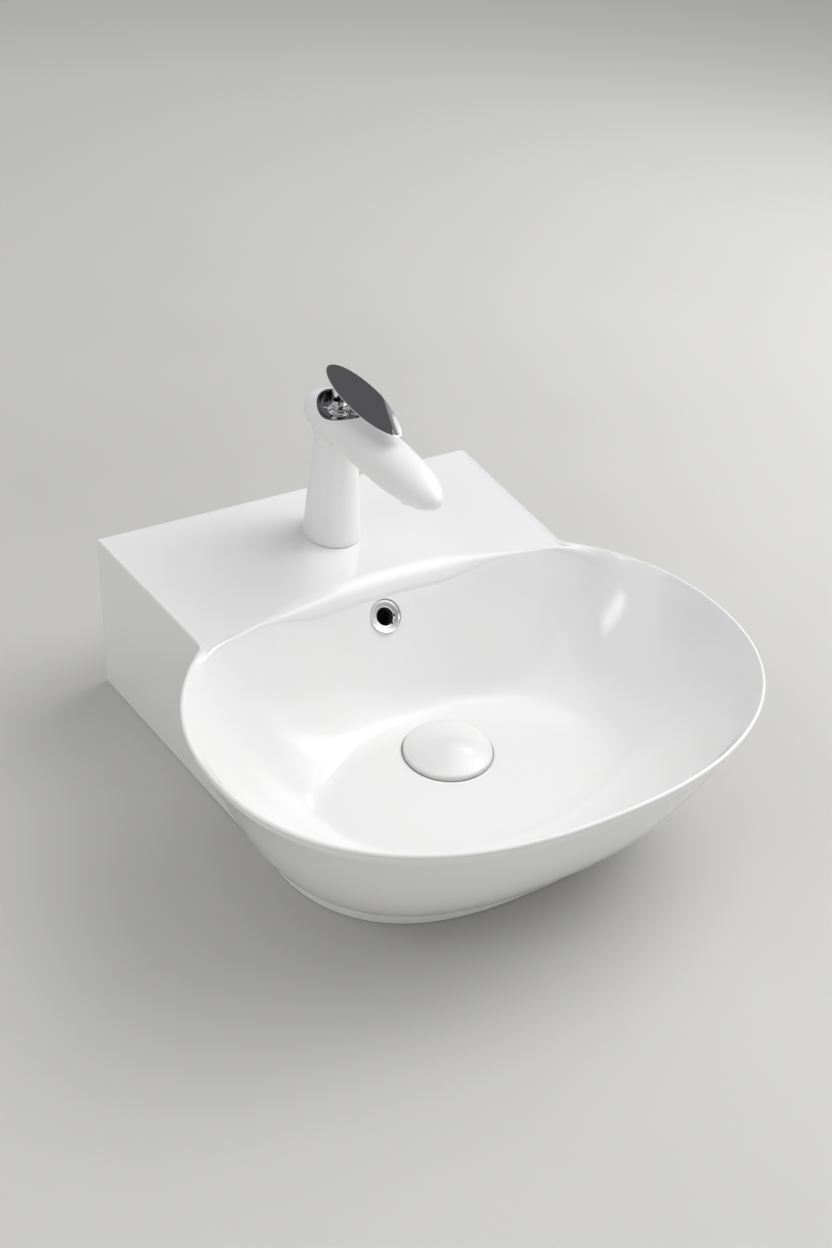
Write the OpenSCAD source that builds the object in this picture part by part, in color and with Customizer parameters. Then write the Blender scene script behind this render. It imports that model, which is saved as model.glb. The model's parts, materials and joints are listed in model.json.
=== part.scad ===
// Wall-hung washbasin with a deck-mounted single-lever tap and a push-to-close waste.
// Millimetres. X runs along the wall, Y points into the wall, Z is up.
// The wall face is y = 0 and the two wall bolt holes are at z = 0.
// The bowl faces -Y. The letter d in a name means a distance forward of the wall.

/* [Basin outline] */
// Width of the box where it meets the wall
rear_w = 360.8; // [346:0.1:376]
// Lean of each box side, in millimetres per millimetre forward
side_lean = 0.0727; // [0.055:0.0001:0.09]
// Width over the rim at its widest
rim_w = 451.6; // [440:0.1:466]
// Distance from the wall to the widest place of the rim
rim_mid_d = 299; // [294:0.5:304]
// Depth of the rim's rear half, as if it went on under the deck
rim_back = 183; // [179:0.5:187]
// Distance from the wall to the front of the rim
basin_d = 474; // [466:0.5:486]
// Fullness of the rim's front curve, 2 is an ellipse
rim_full = 2.3; // [2.15:0.05:2.5]
// Thickness of the rim seen from above
rim_t = 6.5; // [5.5:0.1:8]
// Height of the rim and the side lips over the deck
lip_h = 2.5; // [1.8:0.1:3]
// Height of the basin from foot to rim
basin_h = 148; // [144:0.5:156]
// Height of the rim above the wall bolts
rim_z = 75; // [70:0.5:80]

/* [Bowl] */
// Depth of the bowl at the waste, below the rim
bowl_h = 99.5; // [97:0.5:102]
// Rise of the floor from the waste seat to the foot of the bowl's walls
floor_rise = 5; // [3:0.5:7]
// Half width of the bowl's floor
floor_a = 122; // [114:1:126]
// Half depth of the bowl's floor
floor_b = 79; // [75:1:82]
// Distance from the wall to the bowl's rear edge on the centre line
bowl_back_d = 155; // [152:0.5:157]
// Radius of the soft turn from the deck into the bowl
turn_r = 18; // [14:0.5:20]
// Thickness of the bowl and the deck
bowl_t = 9; // [8.4:0.1:9.6]
// Thickness of the back wall and the box sides
skin_t = 10; // [9:0.2:12]

/* [Foot] */
// Half width of the foot where its front curve starts
foot_a = 151; // [146:0.5:155]
// Distance from the wall to the front of the foot
foot_d = 395.5; // [389:0.5:401]
// Fullness of the foot's front curve
foot_full = 3; // [2.6:0.1:3.2]
// Height of the band along the foot
band_h = 7; // [5:0.5:9]

/* [Holes] */
// Distance between the two wall bolt holes
bolt_span = 280; // [260:1:290]
// Diameter of each wall bolt hole
bolt_hole_d = 18; // [14:0.5:20]
// Diameter of the hole for the tap
tap_hole_d = 35; // [34.5:0.1:35.5]
// Diameter of the hole for the waste
waste_hole_d = 46; // [45:0.5:47]
// Diameter of the hole for the overflow ring
over_hole_d = 21; // [20:0.2:21.6]
// Distance from the rim's widest place back to the waste
waste_back = 28.6; // [26:0.2:31]
// Depth of the overflow below the rim
over_z = 31.9; // [30.5:0.1:33]
// Slope of the bowl's rear wall at the overflow, from level
over_slope = 51; // [49:0.5:53]
// Bore of the passage that leads the overflow to the waste
duct_d = 12; // [10:0.5:12.6]

/* [Waste] */
// Outer diameter of the waste's threaded tail
tail_d = 41.9; // [41.5:0.1:42.2]
// Wall of the tail
tail_t = 3; // [2.6:0.1:3.4]
// Length of the tail below the bowl's floor
tail_l = 84; // [80:0.5:92]
// Length of the tail's lower thread, where the trap is screwed on
outlet_l = 25.5; // [21:0.5:25.5]
// Diameter of the flange that sits on the floor
flange_d = 66; // [64:0.2:68]
// Diameter of the domed cap
cap_d = 73; // [71:0.2:75]
// Height of the cap's dome
cap_dome = 5.5; // [4:0.1:6.5]
// Travel of the cap
cap_travel = 8; // [6:0.5:9]
// Thickness of the ceramic under the waste flange
boss_h = 35.5; // [34:0.5:37]
// Wire of the spring under the plunger
spring_wire = 0.8; // [0.7:0.05:0.9]

/* [Tap] */
// Distance from the wall to the tap hole
tap_d = 73; // [72:0.1:74]
// Half width of the column at its base
base_a = 23.3; // [22.5:0.1:24.5]
// Half depth of the column at its base
base_b = 27.6; // [26.5:0.1:28.5]
// Height of the spout's centre line above the rim
spout_z = 107.5; // [106:0.1:109]
// Half width of the spout barrel
spout_a = 21; // [20.5:0.1:22]
// Half height of the spout barrel
spout_b = 18; // [17.6:0.1:18.6]
// Distance from the wall to the back of the barrel
spout_back_d = 41.5; // [40:0.1:43]
// Distance from the wall to the tip of the barrel
spout_tip_d = 229.5; // [226:0.5:234]
// Lean of the cartridge and the lever towards the front
head_lean = 6.5; // [5:0.1:8]
// Half width of the recess in the top of the barrel
recess_a = 17.2; // [16.8:0.1:17.6]
// Half length of the recess
recess_b = 22.6; // [21.8:0.1:23.2]
// Diameter of the cartridge housing
cart_d = 25; // [24.6:0.1:25.4]
// Diameter of the aerator
aer_d = 16; // [15.6:0.1:16.4]
// Distance from the barrel's tip back to the aerator
aer_back = 35.5; // [33.5:0.5:38.5]

/* [Lever] */
// Length of the leaf
leaf_l = 110; // [104:0.5:114]
// Width of the leaf
leaf_w = 31.6; // [30:0.2:33]
// Height of the leaf's under side over the recess
leaf_z = 21; // [20:0.2:23]
// How far the leaf's middle sits forward of the cartridge
leaf_fore = 32.5; // [30:0.5:34]
// Thickness of the leaf in its middle
leaf_t = 5; // [4:0.1:6]

/* [Clearances] */
// Running clearance on each radius between pieces that turn or slide
run_gap = 0.08; // [0.05:0.01:0.1]
// Clearance on each radius of pieces pushed or screwed into a bore
push_gap = 0.1; // [0.05:0.01:0.15]

/* [Hidden] */
$fn = 64;
eps = 0.01;
deck_z = rim_z - lip_h;
foot_z = rim_z - basin_h;
seat_z = rim_z - bowl_h;
boss_z = seat_z - boss_h;
half_w = rear_w / 2;
rim_a = rim_w / 2;
rim_b = basin_d - rim_mid_d;
waste_d = rim_mid_d - waste_back;
aer_y_d = spout_tip_d - aer_back;
corner_r = 3;
flare_d = 250;
seat_r = flange_d / 2 + 6;
deck_t = bowl_t + 1;

function smooth(t) = let (c = min(1, max(0, t))) c * c * (3 - 2 * c);
function mix(a, b, t) = a + (b - a) * t;
function side_x(d) = half_w - side_lean * d;
function foot_x(d) = foot_a + (half_w - foot_a) * pow(max(0, 1 - d / flare_d), 1.3);
function ell_x(t) = rim_a * cos(t);
function ell_d(t) = rim_mid_d - rim_back * sin(t);
function fan(n, a, b) = [for (j = [0 : n]) a + (b - a) * j / n];

// Where the straight box side runs into the rear curve of the rim
q_a = pow(side_lean / rim_a, 2) + 1 / pow(rim_back, 2);
q_b = -2 * (half_w * side_lean / pow(rim_a, 2) + rim_mid_d / pow(rim_back, 2));
q_c = pow(half_w / rim_a, 2) + pow(rim_mid_d / rim_back, 2) - 1;
corner_d = (-q_b - sqrt(q_b * q_b - 4 * q_a * q_c)) / (2 * q_a);
corner_x = side_x(corner_d);
corner_t = asin((rim_mid_d - corner_d) / rim_back);
corner_cut = 9;
t_start = corner_t - corner_cut * 180 / PI / norm([rim_a * sin(corner_t), rim_back * cos(corner_t)]);
side_end = [side_x(corner_d - corner_cut), corner_d - corner_cut];
curve_start = [ell_x(t_start), ell_d(t_start)];

// Half of the plan outline, each row: x, d, foot x, foot d, kind (0 back, 1 side, 2 rim)
back_x = concat([for (j = [0 : 6]) (half_w - 12) * j / 7], [for (q = [12, 9, 6.5, corner_r]) half_w - q]);
outline_back = [for (x = back_x) [x, 0, x, 0, 0]];
outline_corner = [for (a = [30, 60, 90])
    let (x = half_w - corner_r * (1 - sin(a)), d = corner_r * (1 - cos(a)))
    [x, d, x, d, 1]];
outline_side = [for (j = [1 : 5])
    let (d = corner_r + (side_end[1] - corner_r) * j / 6)
    [side_x(d), d, foot_x(d), d, 1]];
outline_turn = [for (j = [0 : 5])
    let (u = j / 5,
        p = side_end * pow(1 - u, 2) + [corner_x, corner_d] * 2 * u * (1 - u) + curve_start * u * u)
    [p[0], p[1], foot_x(p[1]), p[1], u < 0.5 ? 1 : 2]];
outline_rear = [for (j = [1 : 7])
    let (t = t_start * (1 - j / 7), x = ell_x(t), d = ell_d(t),
        u = (d - curve_start[1]) / (rim_mid_d - curve_start[1]),
        fd = mix(curve_start[1], flare_d, u))
    [x, d, foot_x(fd), fd, 2]];
outline_front = [for (j = [1 : 16])
    let (t = 90 * j / 16, s = pow(sin(t), 2 / rim_full), c = j == 16 ? 0 : pow(cos(t), 2 / rim_full),
        fs = pow(sin(t), 2 / foot_full), fc = j == 16 ? 0 : pow(cos(t), 2 / foot_full))
    [rim_a * c, rim_mid_d + rim_b * s, foot_a * fc, mix(flare_d, foot_d, fs), 2]];
plan = concat(outline_back, outline_corner, outline_side, outline_turn, outline_rear, outline_front);
plan_n = len(plan);

// Values along the ray from the bowl's middle through each plan point
function ray_len(k) = norm([plan[k][0], plan[k][1] - rim_mid_d]);
ray_l = [for (k = [0 : plan_n - 1]) ray_len(k)];
ray_x = [for (k = [0 : plan_n - 1]) plan[k][0] / ray_l[k]];
ray_d = [for (k = [0 : plan_n - 1]) (plan[k][1] - rim_mid_d) / ray_l[k]];
ray_a = [for (k = [0 : plan_n - 1]) atan2(plan[k][0], rim_mid_d - plan[k][1])];
is_rim = [for (p = plan) p[4] == 2];
is_back = [for (p = plan) p[4] == 0];
turn_at = [for (a = ray_a) 3 + (turn_r - 3) * smooth((46 - a) / 26)];

// Bowl edge: the rim's inner side at the front, a shallow arc under the deck's front at the back
bowl_back_rise = 0.00113;
function arc_edge(a) =
    a > 100 ? 1000 :
    let (h = rim_mid_d - bowl_back_d, c = cos(a), s = sin(a))
    2 * h / (c + sqrt(c * c + 4 * bowl_back_rise * s * s * h));
function rim_edge(k) =
    (is_rim[k] || ray_a[k] > 89 ? ray_l[k] : 1 / norm([ray_x[k] / rim_a, ray_d[k] / rim_back])) - rim_t;
function soft_min(a, b, w) = let (h = max(0, 1 - abs(a - b) / w)) min(a, b) - h * h * w / 4;
edge_r = [for (k = [0 : plan_n - 1]) soft_min(arc_edge(ray_a[k]) - (turn_at[k] - 3) * 0.3, rim_edge(k), 12)];
floor_r = [for (k = [0 : plan_n - 1]) 1 / norm([ray_x[k] / floor_a, ray_d[k] / floor_b])];
wall_p = [for (a = ray_a) 1.15 + 0.3 * smooth((a - 50) / 60)];
floor_z = -bowl_h + floor_rise;

// Height of the top between the bowl's edge and the outline, over the deck's lip and ridge
ridge_at = [for (a = ray_a) smooth((a - 44) / 10)];
function top_z(k, r, b) =
    let (x = r * ray_x[k], d = rim_mid_d + r * ray_d[k],
        out = is_rim[k] ? b : side_x(d) - x,
        lo = smooth((rim_t + 4.5 - out) / 5),
        li = ridge_at[k] * smooth((10 - (r - edge_r[k])) / 5))
    -lip_h * (1 - max(lo, li));
function ring(rr, cy, zz) =
    [for (k = [0 : plan_n - 1]) [rr[k] * ray_x[k], -(cy + rr[k] * ray_d[k]), rim_z + zz[k]]];
span = ray_l - edge_r;
all_k = [for (k = [0 : plan_n - 1]) k];
// How fast a ray leaves the straight side, and where it starts on it
side_cut = [for (k = all_k) is_rim[k] ? 1 : max(0.3, ray_x[k] + side_lean * ray_d[k])];
side_off = [for (k = all_k) is_rim[k] ? 0 : side_x(plan[k][1]) - plan[k][0]];
cut_sin = [for (k = all_k) is_back[k] ? 1 : side_cut[k]];
function lip_in(k, s) = max(is_rim[k] || is_back[k] ? s : 0, (s - side_off[k]) / side_cut[k]);

floor_rings = [for (u = [0, 0.15, 0.45, 0.75])
    ring([for (k = all_k) mix(seat_r, floor_r[k], u)], mix(waste_d, rim_mid_d, u),
        [for (k = all_k) mix(-bowl_h, floor_z, u * (0.6 + 0.4 * u))])];
wall_rings = [for (t = [90, 80, 70, 60, 50, 40, 30, 20, 10, 0])
    ring([for (k = all_k) mix(floor_r[k], edge_r[k], t == 90 ? 0 : pow(cos(t), 2 / wall_p[k]))],
        rim_mid_d,
        [for (k = all_k) mix(-turn_at[k], floor_z, pow(sin(t), 2 / wall_p[k]))])];
turn_w = [for (k = all_k) min(turn_at[k], span[k] * 0.4)];
turn_rings = [for (t = [22, 45, 68, 90])
    let (r = [for (k = all_k) edge_r[k] + turn_w[k] * (1 - cos(t))])
    ring(r, rim_mid_d, [for (k = all_k) top_z(k, r[k], ray_l[k] - r[k]) - turn_at[k] * (1 - sin(t))])];
function over_top(rr) = ring(rr, rim_mid_d, [for (k = all_k) top_z(k, rr[k], ray_l[k] - rr[k])]);
deck_in = [for (s = [[5, 0.5], [10, 0.56]])
    over_top([for (k = all_k) edge_r[k] + max(min(turn_w[k] + s[0], span[k] * s[1]), turn_w[k] + 0.01 * span[k])])];
deck_mid = [over_top([for (k = all_k)
    edge_r[k] + mix(min(turn_w[k] + 10, span[k] * 0.56), span[k] - min(lip_in(k, 16), span[k] * 0.42), 0.5)])];
deck_out = [for (s = [[11, 0.41], [8.5, 0.4], [6, 0.395]])
    over_top([for (k = all_k) ray_l[k] - min(lip_in(k, s[0]), span[k] * s[1])])];
brim = [for (k = all_k) is_back[k] ? 1 : 2.5];
brim_rings = [for (t = [90, 45, 0])
    ring([for (k = all_k) ray_l[k] - min(brim[k] / cut_sin[k], span[k] * 0.39) * (1 - cos(t))], rim_mid_d,
        [for (k = all_k) top_z(k, ray_l[k], 0) - brim[k] * (1 - sin(t))])];

// Outer skin from the rim down to the foot, full in front and straighter at the sides,
// and the band along the foot that stands a little proud of it in front
brow = [for (k = all_k) is_rim[k] ? 1.8 * smooth((ray_a[k] - 54) / 12) : 0];
swell = [for (a = ray_a) 0.95 - 0.35 * smooth((a - 80) / 60)];
skin_top = -9.5;
skin_low = -basin_h + band_h;
function skin_point(k, z, inset) =
    let (s = min(1, max(0, (z - skin_top) / (skin_low - skin_top))),
        h = s >= 1 ? 0 : pow(1 - s, swell[k]),
        p = [mix(plan[k][2], plan[k][0], h), mix(plan[k][3], plan[k][1], h)],
        m = p - [0, rim_mid_d],
        q = p - m / norm(m) * inset)
    [q[0], -q[1], rim_z + z];
skin_rings = concat(
    [[for (k = all_k) skin_point(k, -6.5, 0)]],
    [for (s = [0, 0.12, 0.3, 0.55, 0.8, 0.96])
        [for (k = all_k) skin_point(k, mix(skin_top, skin_low, s), brow[k] * (1 - s))]]);
band_step = [for (a = ray_a) 0.7 * smooth((a - 80) / 18)];
band_in = [for (k = all_k) is_back[k] ? 0 : 2.5 * smooth((ray_a[k] - 31) / 2)];
foot_rings = [
    [for (k = all_k) skin_point(k, skin_low, band_step[k])],
    [for (k = all_k) skin_point(k, skin_low - 0.5, 0)],
    [for (k = all_k) skin_point(k, -basin_h, band_in[k])]];

// Inside of the box and the hollow under the bowl
function box_in(k) =
    let (s = ray_x[k], c = -ray_d[k],
        rb = c > 0.01 ? (rim_mid_d - skin_t) / c : 1000,
        den = s + side_lean * ray_d[k],
        rs = den > 0.01 ? (half_w - skin_t - side_lean * rim_mid_d) / den : 1000)
    ray_l[k] - min(rb, rs);
wall_in = [for (k = all_k) is_rim[k] ? skin_t + 2 : box_in(k)];
ceil_z = [for (a = ray_a) -(lip_h + deck_t) - (0.82 * floor_z * -1 - lip_h - deck_t) * smooth((a - 40) / 35)];
foot_in = [[for (k = all_k) skin_point(k, -basin_h, wall_in[k] + (is_rim[k] ? 3 : 0.5))]];
inner_rings = [for (v = [0.12, 0.55, 1])
    [for (k = all_k) skin_point(k, mix(-basin_h, ceil_z[k], v), wall_in[k])]];
function under_s(k, s, n) =
    n == 0 ? s : under_s(k, pow(max(0, (-turn_at[k] - ceil_z[k] - bowl_t * s) / (-turn_at[k] - floor_z)), wall_p[k] / 2), n - 1);
under_t0 = [for (k = all_k) asin(min(0.99, under_s(k, 0.7, 6)))];
function under_r(k, t) = mix(floor_r[k], edge_r[k] + 1.1 * bowl_t, t >= 90 ? 0 : pow(cos(t), 2 / wall_p[k]));
ceil_r = [for (k = all_k)
    let (r0 = under_r(k, under_t0[k]), r1 = norm(skin_point(k, ceil_z[k], wall_in[k]) - [0, -rim_mid_d, rim_z + ceil_z[k]]))
    r0 + min(turn_at[k], 0.5 * (r1 - r0))];
ceil_rings = [ring(ceil_r, rim_mid_d, ceil_z)];
under_rings = [for (v = [0, 0.2, 0.4, 0.6, 0.8, 1])
    let (t = [for (k = all_k) mix(under_t0[k], 90, v)])
    ring([for (k = all_k) under_r(k, v == 1 ? 90 : t[k])], rim_mid_d,
        [for (k = all_k) mix(-turn_at[k], floor_z, v == 1 ? 1 : pow(sin(t[k]), 2 / wall_p[k])) - bowl_t * sin(t[k])])];
base_rings = [ring([for (k = all_k) mix(seat_r, floor_r[k], 0.3)], mix(waste_d, rim_mid_d, 0.3),
    [for (k = all_k) -bowl_h - bowl_t])];

half_rings = concat(floor_rings, wall_rings, turn_rings, deck_in, deck_mid, deck_out, brim_rings,
    skin_rings, foot_rings, foot_in, inner_rings, ceil_rings, under_rings, base_rings);
function both(h) = concat(h, [for (k = [len(h) - 2 : -1 : 1]) [-h[k][0], h[k][1], h[k][2]]]);
loop_n = 2 * plan_n - 2;
rings_n = len(half_rings);
shell_points = concat([for (h = half_rings) each both(h)],
    [[0, -waste_d, seat_z], [0, -waste_d, seat_z - bowl_t]]);
function band_faces(rn, ln) = [for (j = [0 : rn - 2]) for (k = [0 : ln - 1])
    let (a = j * ln + k, b = j * ln + (k + 1) % ln)
    each [[a, a + ln, b + ln], [a, b + ln, b]]];
function cap_faces(rn, ln, first, last) = concat(
    [for (k = [0 : ln - 1]) [first, k, (k + 1) % ln]],
    [for (k = [0 : ln - 1]) [last, (rn - 1) * ln + (k + 1) % ln, (rn - 1) * ln + k]]);
shell_faces = concat(band_faces(rings_n, loop_n),
    cap_faces(rings_n, loop_n, rings_n * loop_n, rings_n * loop_n + 1));

// Overflow: its place on the rear wall and the passage behind the wall
over_n = [0, -sin(over_slope), cos(over_slope)];
over_s = [0, -cos(over_slope), -sin(over_slope)];
over_d = rim_mid_d - mix(floor_b, rim_mid_d - bowl_back_d - (turn_r - 3) * 0.3,
    pow(1 - pow((over_z - turn_r) / (-floor_z - turn_r), 1.15), 1 / 1.15));
over_p = [0, -over_d, rim_z - over_z];
duct_in = 17;
duct_a = over_p - over_n * duct_in;
duct_low = seat_z - duct_in;
duct_b = duct_a + over_s * ((duct_a[2] - duct_low) / -over_s[2]);
duct_c = [0, -waste_d, duct_low];
case_t = 5.4;
case_half = over_hole_d / 2 + 5;
function side_of(p) = [p[1], p[2]];
case_in_a = over_p - over_s * case_half - over_n * 6;
case_in_b = [0, -(rim_mid_d - floor_b) + 4, rim_z + floor_z - 3];
case_out_a = case_in_a - over_n * (duct_in + duct_d / 2 + case_t - 6);
case_out_b = case_out_a + over_s * ((case_out_a[2] - duct_low + duct_d / 2 + case_t) / -over_s[2]);

module rod(a, b, r) {
    v = b - a;
    h = norm(v);
    translate(a)
        rotate([0, acos(v[2] / h), atan2(v[1], v[0])])
            cylinder(h = h, r = r);
}

// Side view of the casing behind the rear wall, from the overflow down to the boss
module passage_case() {
    rotate([90, 0, 90])
        translate([0, 0, -case_half])
            linear_extrude(2 * case_half)
                polygon([
                    side_of(case_in_a),
                    side_of(case_in_b),
                    [-waste_d + waste_hole_d / 2 + 4, seat_z - 4],
                    [-waste_d + waste_hole_d / 2 + 4, duct_low - duct_d / 2 - case_t],
                    side_of(case_out_b),
                    side_of(case_out_a)
                ]);
}

module basin_cast() {
    polyhedron(points = shell_points, faces = shell_faces, convexity = 10);
    translate([0, -waste_d, boss_z])
        cylinder(h = boss_h - bowl_t / 2, r = waste_hole_d / 2 + 20);
    passage_case();
}

module basin() {
    color("white")
        difference() {
            basin_cast();
            // Tap hole
            translate([0, -tap_d, deck_z - deck_t - 5])
                cylinder(h = deck_t + 10, d = tap_hole_d);
            // Waste hole
            translate([0, -waste_d, boss_z - 5])
                cylinder(h = boss_h + 10, d = waste_hole_d);
            // Overflow hole with a flat seat for its ring, and the passage down to the waste
            rod(over_p - over_n * duct_in, over_p + over_n * 8, over_hole_d / 2);
            rod(over_p - over_n * over_seat, over_p + over_n * 8, over_ring_r + 0.5);
            rod(duct_a, duct_b + over_s * 3, duct_d / 2);
            rod(duct_b + [0, 2.5, 0], duct_c, duct_d / 2 - 0.2);
            // Wall bolt holes
            for (s = [-1, 1])
                translate([s * bolt_span / 2, 1, 0])
                    rotate([90, 0, 0])
                        cylinder(h = skin_t + 6, d = bolt_hole_d);
        }
}

// Overflow ring: a bevelled flange with a short barrel pushed into the hole
over_ring_r = 12.6;
over_seat = 0.8;
over_open_r = 6.5;
module overflow_ring() {
    color("silver")
        translate(over_p - over_n * over_seat)
            rotate([over_slope, 0, 0])
                rotate_extrude()
                    polygon([
                        [over_open_r, -11],
                        [over_hole_d / 2 - push_gap, -11],
                        [over_hole_d / 2 - push_gap, 0],
                        [over_ring_r, 0],
                        [over_ring_r, 1],
                        [over_ring_r - 1.2, 2.2],
                        [over_open_r + 1.4, 2.2],
                        [over_open_r, 1]
                    ]);
}

// Waste: body with flange, overflow windows, inner spider and threaded tail
tail_r = tail_d / 2;
bore_r = tail_r - tail_t;
flange_r = flange_d / 2;
seal_t = 1.5;
flange_t = 2.5;
flange_top = seat_z + seal_t + flange_t;
tail_low = seat_z - tail_l;
hub_z = boss_z + 3;
hub_h = 5;
hub_r = 7;
hub_bore_r = 4.6;
window_h = 13;
mouth_r = bore_r - 1.2;
groove_t = 0.9;
module waste_body() {
    color("gainsboro")
        difference() {
            union() {
                rotate_at_waste()
                    polygon([
                        [bore_r, tail_low],
                        [tail_r - 1, tail_low],
                        [tail_r, tail_low + 1],
                    [tail_r, tail_low + 1 + outlet_l],
                    [tail_r - groove_t, tail_low + 1.4 + outlet_l],
                    [tail_r - groove_t, tail_low + 2.1 + outlet_l],
                    [tail_r, tail_low + 2.5 + outlet_l],
                        [tail_r, seat_z + seal_t],
                        [flange_r, seat_z + seal_t],
                        [flange_r, seat_z + seal_t + 0.8],
                        [flange_r - 2, flange_top],
                        [bore_r + 3, flange_top],
                        [mouth_r, flange_top - 2.2],
                        [mouth_r, flange_top - 5],
                        [bore_r, flange_top - 7]
                    ]);
                translate([0, -waste_d, hub_z])
                    cylinder(h = hub_h, r = hub_r);
                for (a = [90, 210, 330])
                    translate([0, -waste_d, hub_z])
                        rotate([0, 0, a])
                            translate([hub_r - 1, -1.5, 0])
                                cube([bore_r - hub_r + 2, 3, hub_h]);
            }
            // Windows that let the overflow in
            for (a = [0, 90, 180, 270])
                translate([0, -waste_d, duct_low])
                    rotate([0, 0, a])
                        translate([bore_r - 2, -6, -window_h / 2])
                            cube([tail_t + 4, 12, window_h]);
            translate([0, -waste_d, hub_z - 1])
                cylinder(h = hub_h + 2, r = hub_bore_r);
        }
}

module rotate_at_waste() {
    translate([0, -waste_d, 0])
        rotate_extrude()
            children();
}

module flange_seal() {
    color("dimgray")
        rotate_at_waste()
            translate([tail_r + 0.8, seat_z])
                square([flange_r - tail_r - 2.8, seal_t]);
}

// Tapered rubber, slip washer and lock nut under the bowl
gasket_h = 7;
washer_h = 2.5;
nut_h = 11;
module waste_gasket() {
    color("dimgray")
        rotate_at_waste()
            polygon([
                [tail_r + push_gap, boss_z - gasket_h],
                [tail_r + 11, boss_z - gasket_h],
                [tail_r + 11, boss_z - 3.5],
                [tail_r + 7, boss_z],
                [tail_r + push_gap, boss_z]
            ]);
}

module waste_washer() {
    color("white")
        rotate_at_waste()
            translate([tail_r + push_gap, boss_z - gasket_h - washer_h])
                square([10, washer_h]);
}

module waste_nut() {
    color("goldenrod")
        translate([0, -waste_d, boss_z - gasket_h - washer_h - nut_h])
            linear_extrude(nut_h)
                difference() {
                    union() {
                        circle(r = tail_r + 6);
                        for (a = [0 : 60 : 300])
                            rotate([0, 0, a])
                                translate([tail_r + 3, -4])
                                    square([6.5, 8]);
                    }
                    circle(r = tail_r + push_gap);
                }
}

// Cap, the core under it, its seal and the plunger rise together
cap_r = cap_d / 2;
cap_low = seat_z + 1.8;
cap_edge = cap_low + 4.2;
core_r = 14;
core_low = flange_top + 0.6;
core_top = cap_edge + 0.4;
dome_r = (cap_r * cap_r + cap_dome * cap_dome) / (2 * cap_dome);
module waste_cap() {
    color("white")
        difference() {
            rotate_at_waste()
                polygon(concat(
                    [[0, cap_low], [cap_r - 1, cap_low], [cap_r, cap_low + 1], [cap_r, cap_edge - 1.2]],
                    [for (j = [1 : 18])
                        let (x = (cap_r - 0.6) * (1 - j / 18), z = cap_edge - 0.4 + sqrt(dome_r * dome_r - x * x) - (dome_r - cap_dome))
                        [x, z]]));
            translate([0, -waste_d, cap_low - 1])
                cylinder(h = core_low - cap_low + 1, r = flange_r + 1.2);
            translate([0, -waste_d, core_low - 1])
                cylinder(h = core_top - core_low + 1, r = core_r + push_gap);
        }
}

plunger_r = 3.5;
screw_r = 3;
module cap_core() {
    color("goldenrod")
        difference() {
            union() {
                translate([0, -waste_d, core_low])
                    cylinder(h = core_top - core_low, r = core_r);
                translate([0, -waste_d, core_low - 6])
                    cylinder(h = 6 + eps, r = core_r - 4);
            }
            translate([0, -waste_d, core_low - 7])
                cylinder(h = 10, r = screw_r + push_gap);
        }
}

module cap_seal() {
    color("dimgray")
        rotate_at_waste()
            polygon([
                [core_r - 4 + push_gap, core_low - 4.5],
                [mouth_r - 1.4, core_low - 4.5],
                [mouth_r - 0.3, core_low - 2.6],
                [mouth_r - 0.3, core_low - 0.6],
                [core_r - 4 + push_gap, core_low - 0.6]
            ]);
}

sleeve_low = hub_z - 7;
sleeve_top = duct_low + 7.5;
plunger_low = sleeve_top - cap_travel - 7;
spring_low = sleeve_low + 2;
spring_top = plunger_low - 0.3;
module plunger() {
    color("goldenrod") {
        translate([0, -waste_d, plunger_low])
            cylinder(h = core_low - 6 - plunger_low, r = plunger_r);
        translate([0, -waste_d, core_low - 6 - eps])
            cylinder(h = core_top - core_low + 6 - push_gap, r = screw_r);
    }
}

module click_sleeve() {
    color("white")
        difference() {
            union() {
                translate([0, -waste_d, sleeve_low])
                    cylinder(h = sleeve_top - sleeve_low, r = hub_bore_r - push_gap);
                translate([0, -waste_d, hub_z + hub_h])
                    cylinder(h = sleeve_top - hub_z - hub_h, r = hub_r - 0.5);
            }
            translate([0, -waste_d, spring_low])
                cylinder(h = sleeve_top - spring_low + 1, r = plunger_r + run_gap);
        }
}

// Spring under the plunger, one unbroken wire with closed ends
coil_r = plunger_r - 0.55;
coil_turns = 6;
coil_step = 14;
coil_n = coil_turns * coil_step;
spring_gap = (spring_top - spring_low - 2 * spring_wire / 2) / coil_turns - spring_wire;
echo(spring_gap = spring_gap);
function coil_z(u) = spring_low + spring_wire / 2 + (spring_top - spring_low - spring_wire) * u;
coil_points = [for (i = [0 : coil_n]) for (j = [0 : 5])
    let (u = i / coil_n, a = 360 * coil_turns * u, b = 60 * j, r = coil_r + spring_wire / 2 * cos(b))
    [r * cos(a), r * sin(a), coil_z(u) + spring_wire / 2 * sin(b)]];
coil_faces = concat(
    [for (i = [0 : coil_n - 1]) for (j = [0 : 5])
        let (a = i * 6 + j, b = i * 6 + (j + 1) % 6)
        each [[a, b, b + 6], [a, b + 6, a + 6]]],
    [[for (j = [5 : -1 : 0]) j], [for (j = [0 : 5]) coil_n * 6 + j]]);
module plunger_spring() {
    color("silver")
        translate([0, -waste_d, 0])
            polyhedron(points = coil_points, faces = coil_faces, convexity = 8);
}

// Tap: frame of the recess, the cartridge and the lever
head_d = 81;
head_z = 121.8;
module at_head() {
    translate([0, -head_d, rim_z + head_z])
        rotate([head_lean, 0, 0])
            children();
}
function ellipse(a, b, n) = [for (i = [0 : n - 1]) [a * cos(360 * i / n), b * sin(360 * i / n)]];

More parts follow.
